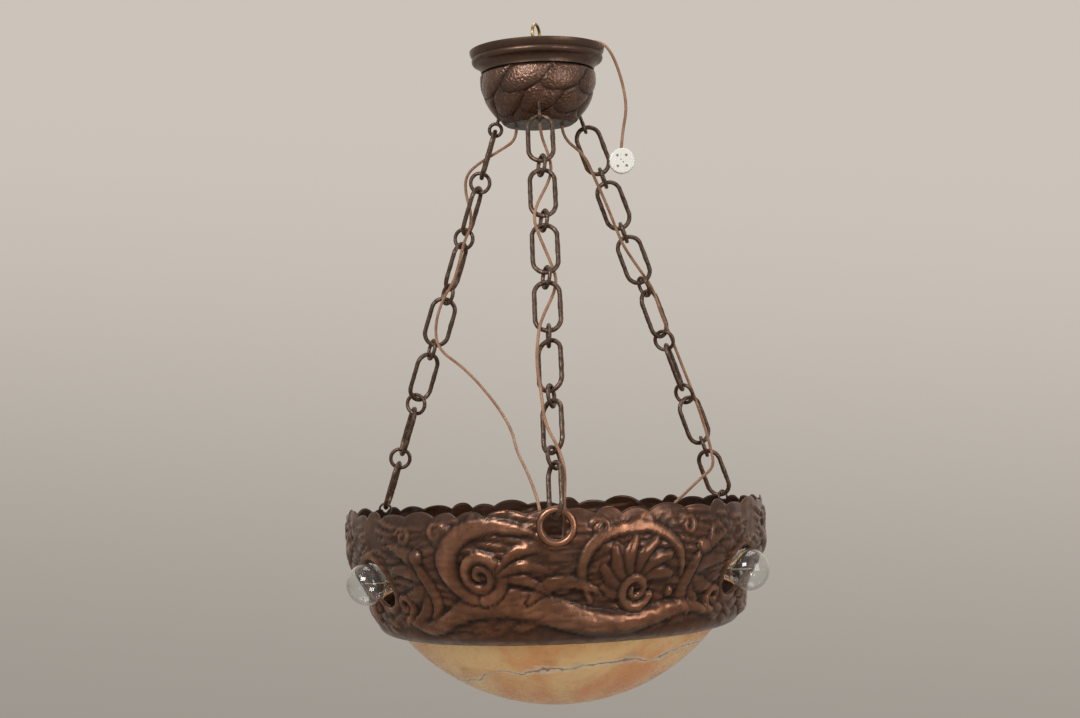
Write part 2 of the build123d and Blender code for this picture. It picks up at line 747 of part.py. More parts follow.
cord("front_flex", [
    floor_exit("front", -sheet), floor_exit("front", 14),
    *by_chain("front", (42, 8, -14), (65, 11, -6), (82, 7, -6.5), (116, -7, 6.5), (133, -11, 5.5),
              (151, -7, 6.5), (185, 7, -6.5), (202, 11, -5.5), (219, 7, -6.5),
              (254, -7, 6.5), (271, -11, 6), (305, -14, 8), (339, -10, 8), (373, -8, 9), (403.5, 6, 11.5),
              (423.5, 11, 4.5), (450, 9, -6), (475, 8, -18)),
    *by_rim((6, -196, -38), (3, -150, -50), (1, -100, -50), (1, -60, -44), (0, -30, -38), (0, -16, -44)),
    Vector(0, -16, gland_z),
])
cord("left_flex", [
    floor_exit("left", -sheet), floor_exit("left", 14),
    *by_chain("left", (20, 5, -17), (46, 4, 11), (62, 4, 19), (80, -1, 16), (98, 0, 1), (115, 4, -7), (133, 8, -6),
              (163, 6, -7), (183.5, 9, -8), (201.5, 9.5, -1), (235, 9, 0), (261.5, 6, -11.5)),
    *by_rim((-96, 42, 160), (-64, 2, 121), (-44, -40, 87), (-39, -82, 62), (-27, -130, 38), (-17, -178, 8),
            (-14, -200, -20), (-14, -180, -42), (-13, -135, -52), (-13, -85, -50), (-13, -45, -43),
            (-12.3, -20, -40), (-12.3, -10.3, -46)),
    Vector(-12.3, -10.3, gland_z),
])
cord("right_flex", [
    floor_exit("right", -sheet), floor_exit("right", 14),
    *by_chain("right", (30, -1, -13), (58, 0, -11), (76, -1, -10), (98, -3, -10), (130, -2, -9),
              (147, -3, -8), (184, 4.5, 7.5), (203, -3.5, 8.5), (235, -6, 5), (270, -2, 9.5), (304, -4, 8.5), (338, -5.5, 8.5),
              (373, -8, 6), (402, -11, 1), (424, -12, -4)),
    *by_rim((172, 84, 24), (143, 60, 0), (108, 40, -26), (70, 22, -42), (38, 4, -42), (20, -6, -38),
            (12.3, -10.3, -45)),
    Vector(12.3, -10.3, gland_z),
])
cord("feed_flex", [
    Vector(20, 14, floor_z + sheet),
    Vector(20, 14, canopy_z - 62), Vector(22, 12, canopy_z - 40), Vector(30, 8, canopy_z - 14),
    Vector(46, 3, canopy_z + 5), Vector(63, -1, canopy_z + 9), Vector(79, -4, canopy_z + 3),
    Vector(89, -6, canopy_z - 18), Vector(96, -7, canopy_z - 45), Vector(99, -8, canopy_z - 72),
    Vector(terminal_middle.X + 2, terminal_middle.Y, canopy_z - 98),
    Vector(terminal_middle.X, terminal_middle.Y, terminal_middle.Z + terminal_r + seat_gap),
])
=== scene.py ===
"""Alabaster bowl pendant: an embossed copper drum on hand-made chains, dressed on its CAD frame.

Every length is in metres unless a name ends in _mm. The origin is the bearing point inside the
suspension ring, Z is up and -Y is the front.
"""
from __future__ import annotations

import logging
import math
from dataclasses import dataclass, field
from enum import Enum
from typing import Callable, Sequence

import bmesh
import bpy
import numpy as np
from mathutils import Matrix, Vector


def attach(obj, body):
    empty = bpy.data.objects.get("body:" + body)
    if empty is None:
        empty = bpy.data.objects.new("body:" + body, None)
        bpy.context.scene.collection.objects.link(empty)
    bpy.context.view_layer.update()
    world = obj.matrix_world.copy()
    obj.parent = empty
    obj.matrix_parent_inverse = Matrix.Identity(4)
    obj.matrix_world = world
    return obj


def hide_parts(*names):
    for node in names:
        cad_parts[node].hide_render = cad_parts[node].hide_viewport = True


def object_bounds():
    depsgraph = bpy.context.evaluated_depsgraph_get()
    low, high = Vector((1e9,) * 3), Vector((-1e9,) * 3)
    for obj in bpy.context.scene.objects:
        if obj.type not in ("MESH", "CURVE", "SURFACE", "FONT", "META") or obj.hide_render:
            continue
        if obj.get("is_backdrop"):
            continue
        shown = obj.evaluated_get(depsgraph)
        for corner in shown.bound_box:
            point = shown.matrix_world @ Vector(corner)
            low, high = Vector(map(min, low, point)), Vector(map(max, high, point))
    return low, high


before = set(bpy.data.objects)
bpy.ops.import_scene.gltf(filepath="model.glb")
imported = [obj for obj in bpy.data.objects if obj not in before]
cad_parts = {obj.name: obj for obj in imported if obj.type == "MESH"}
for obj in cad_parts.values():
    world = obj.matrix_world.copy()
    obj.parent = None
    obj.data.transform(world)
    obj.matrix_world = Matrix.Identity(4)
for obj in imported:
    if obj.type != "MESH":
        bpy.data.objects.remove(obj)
cad_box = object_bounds()
log = logging.getLogger("pendant")

Point = tuple[float, float, float]
Colour = tuple[float, float, float]
Socket = bpy.types.NodeSocket
Piece = bpy.types.Object
MM = 0.001


# ---------------------------------------------------------------- shared places
@dataclass(frozen=True)
class Places:
    """Heights and radii that more than one sub-assembly uses."""

    canopy_z: float = -28.4 * MM
    rim_z: float = -544.0136 * MM
    side_hang_z: float = -549.1245 * MM
    scroll_top_z: float = -542.0136 * MM
    hook_z: float = -112.4 * MM
    hook_r: float = 58.5 * MM
    wall_r: float = 232.2 * MM
    bulb_z: float = -616.0136 * MM


PLACES = Places()


def turn_from(azimuths: np.ndarray, azimuth: float) -> np.ndarray:
    """Gives how far azimuths lie from one azimuth, in -180 to 180 degrees."""
    return (azimuths - azimuth + 180) % 360 - 180


def run_along(points: np.ndarray) -> np.ndarray:
    """Gives the distance run at each point of a line, from its first point."""
    return np.concatenate([[0], np.cumsum(np.linalg.norm(np.diff(points, axis=0), axis=1))])


def on_azimuth(azimuth: float, radius: float, height: float) -> Vector:
    """Gives the point at an azimuth in degrees, a radius from the lamp's axis and a height."""
    a = math.radians(azimuth)
    return Vector((radius * math.sin(a), -radius * math.cos(a), height))


# ---------------------------------------------------------------- mesh helpers
def deselect() -> None:
    """Deselects every object, so that an operator acts only on what is selected next."""
    for thing in bpy.context.selected_objects:
        thing.select_set(False)


def pick(piece: Piece) -> None:
    """Makes one piece the only selected object and the active one."""
    deselect()
    piece.select_set(True)
    bpy.context.view_layer.objects.active = piece


def settle(piece: Piece) -> None:
    """Applies a piece's place, turn and size to its mesh, so its object sits at the origin.

    The piece is left as the only selected object and the active one.
    """
    pick(piece)
    bpy.ops.object.transform_apply(location=True, rotation=True, scale=True)


def face_outward(piece: Piece) -> None:
    """Turns every face of a closed piece outward."""
    pick(piece)
    bpy.ops.object.mode_set(mode="EDIT")
    bpy.ops.mesh.select_all(action="SELECT")
    bpy.ops.mesh.normals_make_consistent(inside=False)
    bpy.ops.object.mode_set(mode="OBJECT")


def add_object(name: str, data: bpy.types.ID) -> Piece:
    """Makes an object from its data and links it to the scene."""
    thing = bpy.data.objects.new(name, data)
    bpy.context.scene.collection.objects.link(thing)
    return thing


def apply_all(piece: Piece) -> None:
    """Applies every modifier of a piece, in order."""
    pick(piece)
    for modifier in list(piece.modifiers):
        bpy.ops.object.modifier_apply(modifier=modifier.name)


def mesh_piece(name: str, points: np.ndarray, faces: Sequence[Sequence[int]]) -> Piece:
    """Makes a smooth-shaded piece from points and faces.

    Args:
        name: The piece's name.
        points: Points as rows of x, y, z.
        faces: Each face's corners as point numbers, facing outward.
    Returns:
        The new object, linked to the scene.
    """
    mesh = bpy.data.meshes.new(name)
    mesh.from_pydata([tuple(p) for p in points.tolist()], [], [tuple(f) for f in faces])
    mesh.update()
    mesh.shade_smooth()
    return add_object(name, mesh)


def point_values(piece: Piece, name: str, values: np.ndarray) -> None:
    """Stores one number for each point of a piece, for its material to read."""
    layer = piece.data.attributes.new(name, "FLOAT", "POINT")
    layer.data.foreach_set("value", np.ascontiguousarray(values, dtype=np.float32))


def placed_copy(model: Piece, name: str, place: Matrix) -> Piece:
    """Copies a modelled piece, with its own mesh, to a place.

    Args:
        model: The piece that is copied.
        name: The copy's name.
        place: Where the model's own frame goes.
    Returns:
        The copy, at the origin with its place in its mesh.
    """
    mesh = model.data.copy()
    mesh.name = name
    mesh.transform(place)
    mesh.update()
    return add_object(name, mesh)


def dress(piece: Piece, material: bpy.types.Material) -> None:
    """Gives a piece one material."""
    piece.data.materials.clear()
    piece.data.materials.append(material)


def dress_node(node: str, material: bpy.types.Material) -> None:
    """Puts a material on every slot of a CAD node, whose mesh stays as it is."""
    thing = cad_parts[node]
    if not thing.material_slots:
        thing.data.materials.append(material)
    for slot in thing.material_slots:
        slot.material = material


def spline_through(xs: Sequence[float], ys: Sequence[float]) -> Callable[[np.ndarray], np.ndarray]:
    """Makes a smooth curve through values given at rising places.

    Args:
        xs: Rising places.
        ys: The value at each place.
    Returns:
        A function that gives the curve's value at an array of places.
    """
    x, y = np.asarray(xs, float), np.asarray(ys, float)
    step = np.diff(x)
    system = np.eye(len(x))
    right = np.zeros(len(x))
    for k in range(1, len(x) - 1):
        system[k, k - 1 : k + 2] = step[k - 1], 2 * (step[k - 1] + step[k]), step[k]
        right[k] = 6 * ((y[k + 1] - y[k]) / step[k] - (y[k] - y[k - 1]) / step[k - 1])
    bend = np.linalg.solve(system, right)

    def curve(at: np.ndarray) -> np.ndarray:
        """Gives the curve's value at each place."""
        a = np.clip(np.asarray(at, float), x[0], x[-1])
        k = np.clip(np.searchsorted(x, a) - 1, 0, len(x) - 2)
        h = step[k]
        low, high = (x[k + 1] - a) / h, (a - x[k]) / h
        return (low * y[k] + high * y[k + 1]
                + ((low**3 - low) * bend[k] + (high**3 - high) * bend[k + 1]) * h**2 / 6)

    return curve


# ---------------------------------------------------------------- shader helpers
class Tree:
    """A short way to write one material's or group's nodes."""

    def __init__(self, tree: bpy.types.NodeTree) -> None:
        """Starts on a node tree."""
        self.tree = tree

    def node(self, kind: str, settings: dict | None = None, **inputs) -> bpy.types.Node:
        """Adds a node.

        Args:
            kind: The node's type.
            settings: Values for the node's own properties.
            **inputs: Input sockets by name, with spaces written as _, or by number, as i0, i1 and so on;
                each a value or a socket.
        Returns:
            The new node.
        """
        made = self.tree.nodes.new(kind)
        for key, value in (settings or {}).items():
            setattr(made, key, value)
        for key, value in inputs.items():
            numbered = key[0] == "i" and key[1:].isdigit()
            slot = made.inputs[int(key[1:]) if numbered else key.replace("_", " ")]
            if isinstance(value, bpy.types.NodeSocket):
                self.tree.links.new(value, slot)
            else:
                slot.default_value = value
        return made

    def math(self, operation: str, a: Socket | float, b: Socket | float = 0.0, clamp: bool = False) -> Socket:
        """Adds a Math node and gives its result."""
        return self.node("ShaderNodeMath", {"operation": operation, "use_clamp": clamp}, i0=a, i1=b).outputs[0]

    def blend(self, share: Socket | float, a: Socket | Colour, b: Socket | Colour, kind: str = "MIX") -> Socket:
        """Mixes two colours by a share and gives the result."""
        wide = lambda c: c if isinstance(c, bpy.types.NodeSocket) else (*c, 1.0)
        mix = self.node("ShaderNodeMix", {"data_type": "RGBA", "blend_type": kind}, i0=share, i6=wide(a), i7=wide(b))
        return mix.outputs[2]

    def ramp(self, value: Socket, low: float, high: float, out_low: float = 0.0, out_high: float = 1.0) -> Socket:
        """Maps a value between two limits, smoothly and clamped."""
        return self.node("ShaderNodeMapRange", {"interpolation_type": "SMOOTHSTEP"}, Value=value, From_Min=low,
                         From_Max=high, To_Min=out_low, To_Max=out_high).outputs[0]

    def places(self, scale: Point = (1, 1, 1), offset: Point = (0, 0, 0), turn: Point = (0, 0, 0)) -> Socket:
        """Gives Object coordinates, scaled, moved and turned."""
        coordinates = self.node("ShaderNodeTexCoord").outputs["Object"]
        mapping = self.node("ShaderNodeMapping", None, Vector=coordinates, Scale=scale, Location=offset, Rotation=turn)
        return mapping.outputs[0]

    def noise(self, scale: Socket | float, detail: float = 3.0, rough: float = 0.5, where: Socket | None = None,
              distortion: float = 0.0) -> Socket:
        """Gives a noise value in space; scale is in cells a metre."""
        made = self.node("ShaderNodeTexNoise", None, Scale=scale, Detail=detail, Roughness=rough, Distortion=distortion,
                         Vector=where or self.places())
        return made.outputs[0]

    def attribute(self, name: str) -> Socket:
        """Gives a number stored on the piece's points."""
        return self.node("ShaderNodeAttribute", {"attribute_name": name}).outputs["Fac"]

    def group(self, group: bpy.types.NodeTree, **inputs) -> bpy.types.Node:
        """Places a shared node group."""
        return self.node("ShaderNodeGroup", {"node_tree": group}, **inputs)

    def times(self, a: Socket | float, b: Socket | float, clamp: bool = False) -> Socket:
        """Multiplies two values."""
        return self.math("MULTIPLY", a, b, clamp)

    def tint(self, base: Socket, mask: Socket, share: float, colour: Colour, clamp: bool = False) -> Socket:
        """Lays a colour over a base where a mask is high, at most by a share."""
        return self.blend(self.times(mask, share, clamp), base, colour)

    def bump(self, height: Socket, strength: float, distance: float) -> Socket:
        """Gives a normal that follows a height."""
        return self.node("ShaderNodeBump", None, Strength=strength, Distance=distance, Height=height).outputs[0]

    def principled(self, colour: Socket, **inputs) -> Socket:
        """Adds a Principled shader and gives its result."""
        return self.node("ShaderNodeBsdfPrincipled", None, Base_Color=colour, **inputs).outputs[0]

    def leave(self, leave: bpy.types.Node, **results: Socket) -> bpy.types.NodeTree:
        """Leads results to a group's output node and gives the finished group."""
        for key, value in results.items():
            self.tree.links.new(value, leave.inputs[key])
        return self.tree


def new_group(name: str, inputs: dict[str, float],
              outputs: Sequence[str]) -> tuple[Tree, dict[str, Socket], bpy.types.Node]:
    """Makes an empty shader group whose inputs and outputs are all numbers.

    Args:
        name: The group's name.
        inputs: Each input's name and start value.
        outputs: The outputs' names.
    Returns:
        The tree, its input values by name, and its output node.
    """
    tree = bpy.data.node_groups.new(name, "ShaderNodeTree")
    for key, value in inputs.items():
        tree.interface.new_socket(key, in_out="INPUT", socket_type="NodeSocketFloat").default_value = value
    for key in outputs:
        tree.interface.new_socket(key, in_out="OUTPUT", socket_type="NodeSocketFloat")
    entry = tree.nodes.new("NodeGroupInput")
    leave = tree.nodes.new("NodeGroupOutput")
    return Tree(tree), {key: entry.outputs[key] for key in inputs}, leave


def hammer_group() -> bpy.types.NodeTree:
    """Makes the beaten surface: shallow facets and fine pits, as a height in 0 to 1."""
    tree, given, leave = new_group("hammer_marks", {"Facet scale": 180.0, "Pit scale": 700.0, "Pits": 0.4},
                                   ("Height",))
    here = tree.places()
    facets = tree.node("ShaderNodeTexVoronoi", {"feature": "SMOOTH_F1"}, Vector=here, Scale=given["Facet scale"],
                       Smoothness=0.6).outputs["Distance"]
    pits = tree.noise(given["Pit scale"], 2.0, 0.5, here)
    return tree.leave(leave, Height=tree.math("ADD", facets, tree.math("MULTIPLY", pits, given["Pits"])))


def mottle_group() -> bpy.types.NodeTree:
    """Makes the clouds of an old patina: a wide mask and a fine mask, and a streak mask that breaks up the painted
    highlight.
    """
    tree, given, leave = new_group("patina_clouds", {"Scale": 14.0}, ("Wide", "Fine", "Streak"))
    here, drawn = tree.places(), tree.places(scale=(1.0, 1.0, 0.18))
    wide = tree.noise(given["Scale"], 4.0, 0.6, here)
    fine = tree.noise(tree.math("MULTIPLY", given["Scale"], 9.0), 3.0, 0.65, here)
    streak = tree.noise(tree.math("MULTIPLY", given["Scale"], 5.0), 2.0, 0.5, drawn)
    return tree.leave(leave, Wide=tree.ramp(wide, 0.36, 0.66), Fine=tree.ramp(fine, 0.35, 0.7),
                      Streak=tree.ramp(streak, 0.4, 0.7))


GROUPS: dict[str, bpy.types.NodeTree] = {"hammer": hammer_group(), "mottle": mottle_group()}


def new_material(name: str) -> tuple[bpy.types.Material, Tree]:
    """Makes an empty node material and gives it with its tree."""
    material = bpy.data.materials.new(name)
    material.use_nodes = True
    material.node_tree.nodes.clear()
    return material, Tree(material.node_tree)


def close_material(tree: Tree, shader: Socket) -> None:
    """Leads a shader to the material's output."""
    tree.node("ShaderNodeOutputMaterial", None, Surface=shader)


# ---------------------------------------------------------------- finishes
@dataclass(frozen=True)
class PatinaFinish:
    """Copper or bronze under an old brown patina, darker in its hollows and in painted shade, with a painted highlight
    on raised places.
    """

    name: str
    body: Colour
    bright: Colour
    dark: Colour
    grey: Colour
    roughness: tuple[float, float] = (0.30, 0.52)
    metallic: float = 0.85
    coat: float = 0.15
    clouds: float = 14.0
    facets: float = 180.0
    pits: float = 700.0
    beaten: float = 0.35
    beaten_height: float = 0.0006
    grey_share: float = 0.5

    def material(self) -> bpy.types.Material:
        """Builds the material."""
        material, tree = new_material(self.name)
        clouds = tree.group(GROUPS["mottle"], Scale=self.clouds)
        rise, shade_and_patina = tree.attribute("rise"), tree.attribute("shade_and_patina")
        base = tree.blend(tree.times(clouds.outputs["Wide"], self.grey_share), self.body, self.grey)
        base = tree.tint(base, clouds.outputs["Fine"], 0.35, self.dark)
        # painted highlight: raised places are lighter, broken up by streaks
        highlight_share = tree.times(rise, tree.ramp(clouds.outputs["Streak"], 0.0, 1.0, 0.45, 1.0), True)
        base = tree.blend(highlight_share, base, self.bright)
        # darker as patina in hollows, and as painted shade inside shells, under the canopy, at the drum's foot and
        # inside chain links
        base = tree.tint(base, shade_and_patina, 0.92, self.dark, True)
        rough = tree.math("ADD", tree.ramp(clouds.outputs["Fine"], 0.0, 1.0, *self.roughness),
                          tree.times(shade_and_patina, 0.25), True)
        beaten = tree.group(GROUPS["hammer"], Facet_scale=self.facets, Pit_scale=self.pits)
        bump = tree.bump(beaten.outputs["Height"], self.beaten, self.beaten_height)
        shader = tree.principled(base, Metallic=self.metallic, Roughness=rough,
                                 Normal=bump, Coat_Weight=self.coat, Coat_Roughness=0.22)
        close_material(tree, shader)
        return material


@dataclass(frozen=True)
class AlabasterFinish:
    """Amber alabaster: clouds of cream, orange and brown with one thin wandering vein."""

    name: str = "alabaster_amber"
    amber: Colour = (0.72, 0.30, 0.10)
    cream: Colour = (0.83, 0.57, 0.27)
    russet: Colour = (0.54, 0.20, 0.07)
    vein: Colour = (0.20, 0.17, 0.15)
    vein_edge: Colour = (0.85, 0.78, 0.66)
    vein_level: float = -0.712

    def material(self) -> bpy.types.Material:
        """Builds the material."""
        material, tree = new_material(self.name)
        here = tree.places(offset=(0.31, 0.0, 0.12))
        clouds = tree.noise(7.5, 3.0, 0.55, here, 0.8)
        patches = tree.noise(16.0, 4.0, 0.6, tree.places(scale=(1.0, 1.0, 1.7), offset=(0.1, 0.4, 0.0)), 0.5)
        grains = tree.noise(120.0, 3.0, 0.6)
        base = tree.blend(tree.ramp(clouds, 0.40, 0.62), self.amber, self.cream)
        base = tree.tint(base, tree.ramp(patches, 0.52, 0.72), 0.55, self.russet)
        base = tree.tint(base, tree.ramp(grains, 0.45, 0.8), 0.22, self.cream)
        # the vein: a level surface bent by slow and quick noise, so it wanders all round the bowl
        split = tree.node("ShaderNodeSeparateXYZ", None, Vector=tree.places())
        sway = lambda noise, reach: tree.times(tree.math("SUBTRACT", noise, 0.5), reach)
        slow = sway(tree.noise(9.0, 2.0, 0.5, tree.places(offset=(0.7, 0, 0))), 0.055)
        quick = sway(tree.noise(60.0, 3.0, 0.6), 0.012)
        tilt = tree.times(split.outputs["X"], 0.10)
        level = tree.math("ADD", tree.math("ADD", slow, quick), tree.math("ADD", tilt, self.vein_level))
        apart = tree.math("ABSOLUTE", tree.math("SUBTRACT", split.outputs["Z"], level))
        broken = tree.ramp(tree.noise(14.0, 2.0, 0.5, tree.places(offset=(0.2, 0.9, 0.3))), 0.28, 0.40)
        edge = tree.times(tree.ramp(apart, 0.0012, 0.0040, 1.0, 0.0), broken)
        core = tree.times(tree.ramp(apart, 0.0003, 0.0013, 1.0, 0.0), broken)
        smoke = tree.times(tree.ramp(apart, 0.002, 0.012, 0.28, 0.0),
                           tree.times(broken, tree.ramp(tree.noise(26.0, 3.0, 0.6), 0.56, 0.70)))
        base = tree.tint(base, edge, 0.5, self.vein_edge)
        base = tree.blend(smoke, base, self.vein)
        base = tree.tint(base, core, 0.85, self.vein)
        rough = tree.ramp(grains, 0.3, 0.8, 0.24, 0.42)
        bump = tree.bump(grains, 0.08, 0.0006)
        shader = tree.principled(base, Roughness=rough, Normal=bump,
                                 Subsurface_Weight=0.35, Subsurface_Radius=(0.02, 0.01, 0.004), Subsurface_Scale=0.4,
                                 IOR=1.52, Coat_Weight=0.15, Coat_Roughness=0.2)
        close_material(tree, shader)
        return material


@dataclass(frozen=True)
class MetalFinish:
    """Plain turned or drawn metal with fine marks and a little tarnish."""

    name: str
    body: Colour
    tarnish: Colour
    roughness: tuple[float, float] = (0.22, 0.4)
    metallic: float = 1.0
    drawn: Point = (1.0, 1.0, 1.0)
    marks: float = 900.0

    def material(self) -> bpy.types.Material:
        """Builds the material."""
        material, tree = new_material(self.name)
        clouds = tree.group(GROUPS["mottle"], Scale=45.0)
        marks = tree.noise(self.marks, 2.0, 0.5, tree.places(scale=self.drawn))
        base = tree.blend(tree.times(clouds.outputs["Wide"], 0.6), self.body, self.tarnish)
        base = tree.tint(base, clouds.outputs["Fine"], 0.3, self.tarnish)
        rough = tree.ramp(marks, 0.3, 0.7, *self.roughness)
        bump = tree.bump(marks, 0.15, 0.0002)
        shader = tree.principled(base, Metallic=self.metallic, Roughness=rough, Normal=bump)
        close_material(tree, shader)
        return material


@dataclass(frozen=True)
class PorcelainFinish:
    """White glazed porcelain with faint grime in patches and specks."""

    name: str = "porcelain_white"
    glaze: Colour = (0.84, 0.83, 0.80)
    grime: Colour = (0.55, 0.52, 0.47)

    def material(self) -> bpy.types.Material:
        """Builds the material."""
        material, tree = new_material(self.name)
        specks = tree.noise(260.0, 3.0, 0.6)
        wide = tree.noise(70.0, 2.0, 0.5)
        base = tree.blend(tree.times(tree.ramp(wide, 0.5, 0.75), 0.12), self.glaze, self.grime)
        base = tree.tint(base, tree.ramp(specks, 0.62, 0.75), 0.10, self.grime)
        bump = tree.bump(wide, 0.03, 0.0003)
        shader = tree.principled(base, Roughness=tree.ramp(specks, 0.3, 0.8, 0.12, 0.3), Normal=bump, Coat_Weight=0.4,
                                 Coat_Roughness=0.08)
        close_material(tree, shader)
        return material


@dataclass(frozen=True)
class GlassFinish:
    """Clear thin bulb glass, a little smeared."""

    name: str = "bulb_glass_clear"
    tint: Colour = (0.94, 0.95, 0.94)

    def material(self) -> bpy.types.Material:
        """Builds the material."""
        material, tree = new_material(self.name)
        smear = tree.noise(45.0, 3.0, 0.6)
        base = tree.blend(tree.times(tree.ramp(smear, 0.4, 0.7), 0.5), self.tint, (0.88, 0.88, 0.86))
        shader = tree.principled(base, Transmission_Weight=1.0, IOR=1.45,
                                 Roughness=tree.ramp(smear, 0.4, 0.75, 0.02, 0.12),
                                 Coat_Weight=0.2, Coat_Roughness=0.05)
        close_material(tree, shader)
        return material


@dataclass(frozen=True)
class ClothFlexFinish:
    """Braided cloth over a flex: crossing threads that follow the cord by its own UV map."""

    name: str = "flex_braid"
    thread: Colour = (0.40, 0.19, 0.10)
    light: Colour = (0.62, 0.36, 0.22)
    gap_shade: Colour = (0.13, 0.06, 0.035)

    def material(self) -> bpy.types.Material:
        """Builds the material."""
        material, tree = new_material(self.name)
        place = tree.node("ShaderNodeUVMap", {"uv_map": "along"}).outputs[0]
        split = tree.node("ShaderNodeSeparateXYZ", None, Vector=place)
        round_way, long_way = split.outputs["X"], split.outputs["Y"]
        turns = tree.times(round_way, 6.0)
        steps = tree.times(long_way, 900.0)
        wave = lambda a: tree.math("SINE", tree.times(a, 2 * math.pi))
        left = wave(tree.math("ADD", turns, steps))
        right = wave(tree.math("SUBTRACT", turns, steps))
        braid = tree.ramp(tree.math("MAXIMUM", left, right), -0.2, 0.9)
        highlight_patches = tree.noise(55.0, 3.0, 0.6)
        # darker in the gaps between threads: painted shade
        base = tree.blend(braid, self.gap_shade, self.thread)
        # painted highlight on the thread crowns, in patches
        base = tree.tint(base, tree.times(braid, tree.ramp(highlight_patches, 0.4, 0.65)), 0.8, self.light)
        bump = tree.bump(braid, 0.5, 0.00025)
        shader = tree.principled(base, Roughness=0.62, Normal=bump, Sheen_Weight=0.35, Sheen_Roughness=0.4)
        close_material(tree, shader)
        return material


@dataclass
class Finishes:
    """Every finish of the lamp, built once."""

    drum: bpy.types.Material = field(init=False)
    cup: bpy.types.Material = field(init=False)
    spun: bpy.types.Material = field(init=False)
    chain: bpy.types.Material = field(init=False)
    alabaster: bpy.types.Material = field(init=False)
    brass: bpy.types.Material = field(init=False)
    holder: bpy.types.Material = field(init=False)
    iron: bpy.types.Material = field(init=False)
    cap: bpy.types.Material = field(init=False)
    glass: bpy.types.Material = field(init=False)
    porcelain: bpy.types.Material = field(init=False)
    flex: bpy.types.Material = field(init=False)

    def __post_init__(self) -> None:
        """Builds the materials."""
        # in each patina the second colour is its painted highlight; the third darkens mottles and hollows, as patina
        # and as painted shade
        self.drum = PatinaFinish("copper_embossed", (0.175, 0.070, 0.034), (0.60, 0.27, 0.15), (0.022, 0.013, 0.010),
                                 (0.135, 0.088, 0.066), roughness=(0.23, 0.42), coat=0.3, clouds=9.0, facets=120.0,
                                 beaten=0.3, grey_share=0.6).material()
        self.cup = PatinaFinish("copper_cup", (0.135, 0.066, 0.042), (0.36, 0.21, 0.15), (0.02, 0.013, 0.011),
                                (0.115, 0.08, 0.065), roughness=(0.24, 0.42), coat=0.2, clouds=26.0, facets=330.0,
                                pits=900.0, beaten=0.75, beaten_height=0.0012).material()
        self.spun = PatinaFinish("copper_spun", (0.135, 0.078, 0.055), (0.2, 0.12, 0.09), (0.05, 0.03, 0.022),
                                 (0.12, 0.078, 0.06), roughness=(0.34, 0.46), coat=0.1, clouds=20.0, facets=500.0,
                                 beaten=0.05).material()
        self.chain = PatinaFinish("bronze_chain", (0.145, 0.092, 0.066), (0.26, 0.17, 0.12), (0.03, 0.02, 0.016),
                                  (0.20, 0.14, 0.105), roughness=(0.34, 0.55), coat=0.05, clouds=60.0, facets=420.0,
                                  pits=1500.0, beaten=0.5, beaten_height=0.0005).material()
        self.alabaster = AlabasterFinish().material()
        self.brass = MetalFinish("brass_satin", (0.60, 0.43, 0.20), (0.30, 0.19, 0.09)).material()
        self.holder = MetalFinish("brass_holder", (0.55, 0.36, 0.16), (0.25, 0.14, 0.07), (0.25, 0.45)).material()
        self.iron = MetalFinish("iron_dark", (0.09, 0.085, 0.08), (0.16, 0.09, 0.05), (0.45, 0.7),
                                metallic=0.8).material()
        self.cap = MetalFinish("cap_nickel", (0.62, 0.56, 0.46), (0.35, 0.28, 0.2)).material()
        self.glass = GlassFinish().material()
        self.porcelain = PorcelainFinish().material()
        self.flex = ClothFlexFinish().material()


# ---------------------------------------------------------------- beaten relief
STROKE_STEP_MM = 1.2  # between the points at which a stroke is beaten
GROOVE_REACH_MM = 3.2  # how far the chased groove runs out from a form
GROOVE_DEPTH_MM = 1.25


@dataclass(frozen=True)
class Stroke:
    """One beaten form on the unrolled wall: a line with a half width at each of its points, in mm."""

    line: tuple[tuple[float, float], ...]
    widths: tuple[float, ...]
    height: float
    groove: float = 1.0
    keep: float = 0.35

    def samples(self) -> tuple[np.ndarray, np.ndarray]:
        """Gives points about a millimetre apart along the line, and the half width at each."""
        line = np.asarray(self.line, float)
        if len(line) == 1:
            return line, np.asarray(self.widths[:1], float)
        chord = run_along(line)
        at = np.linspace(0, chord[-1], max(8, int(chord[-1] / STROKE_STEP_MM)))
        u, v = (spline_through(chord, line[:, k])(at) for k in (0, 1))
        share = np.interp(at, chord, np.linspace(0, len(self.widths) - 1, len(line)))
        return np.column_stack([u, v]), np.interp(share, np.arange(len(self.widths)), self.widths)

    def beat(self, u: np.ndarray, v: np.ndarray, height: np.ndarray) -> None:
        """Raises the form on a height field, with a chased groove round it.

        Args:
            u: Places round the wall, as a grid in mm.
            v: Places down the wall, as a grid in mm.
            height: The height field in mm, which is changed.
        """
        points, widths = self.samples()
        reach = widths.max() + GROOVE_REACH_MM
        near = ((u > points[:, 0].min() - reach) & (u < points[:, 0].max() + reach)
                & (v > points[:, 1].min() - reach) & (v < points[:, 1].max() + reach))
        if not near.any():
            return
        un, vn = u[near], v[near]
        best = np.full(un.shape, 1e9)
        width = np.full(un.shape, 1.0)
        for (pu, pv), w in zip(points, widths):
            apart = np.hypot(un - pu, vn - pv)
            ratio = apart - w
            closer = ratio < best
            best[closer], width[closer] = ratio[closer], w
        inside = best < 0
        depth = np.clip(1 + best / width, 0, 1)
        crown = np.sqrt(np.clip(1 - depth**2, 0, 1))
        form = self.height * np.clip(width / widths.max(), 0.35, 1) ** 0.5 * crown
        old = height[near]
        new = np.where(inside, self.keep * old + form, old)
        ditch = np.where(~inside & (best < GROOVE_REACH_MM),
                         GROOVE_DEPTH_MM * self.groove * (1 - best / GROOVE_REACH_MM) ** 2, 0.0)
        height[near] = new - ditch


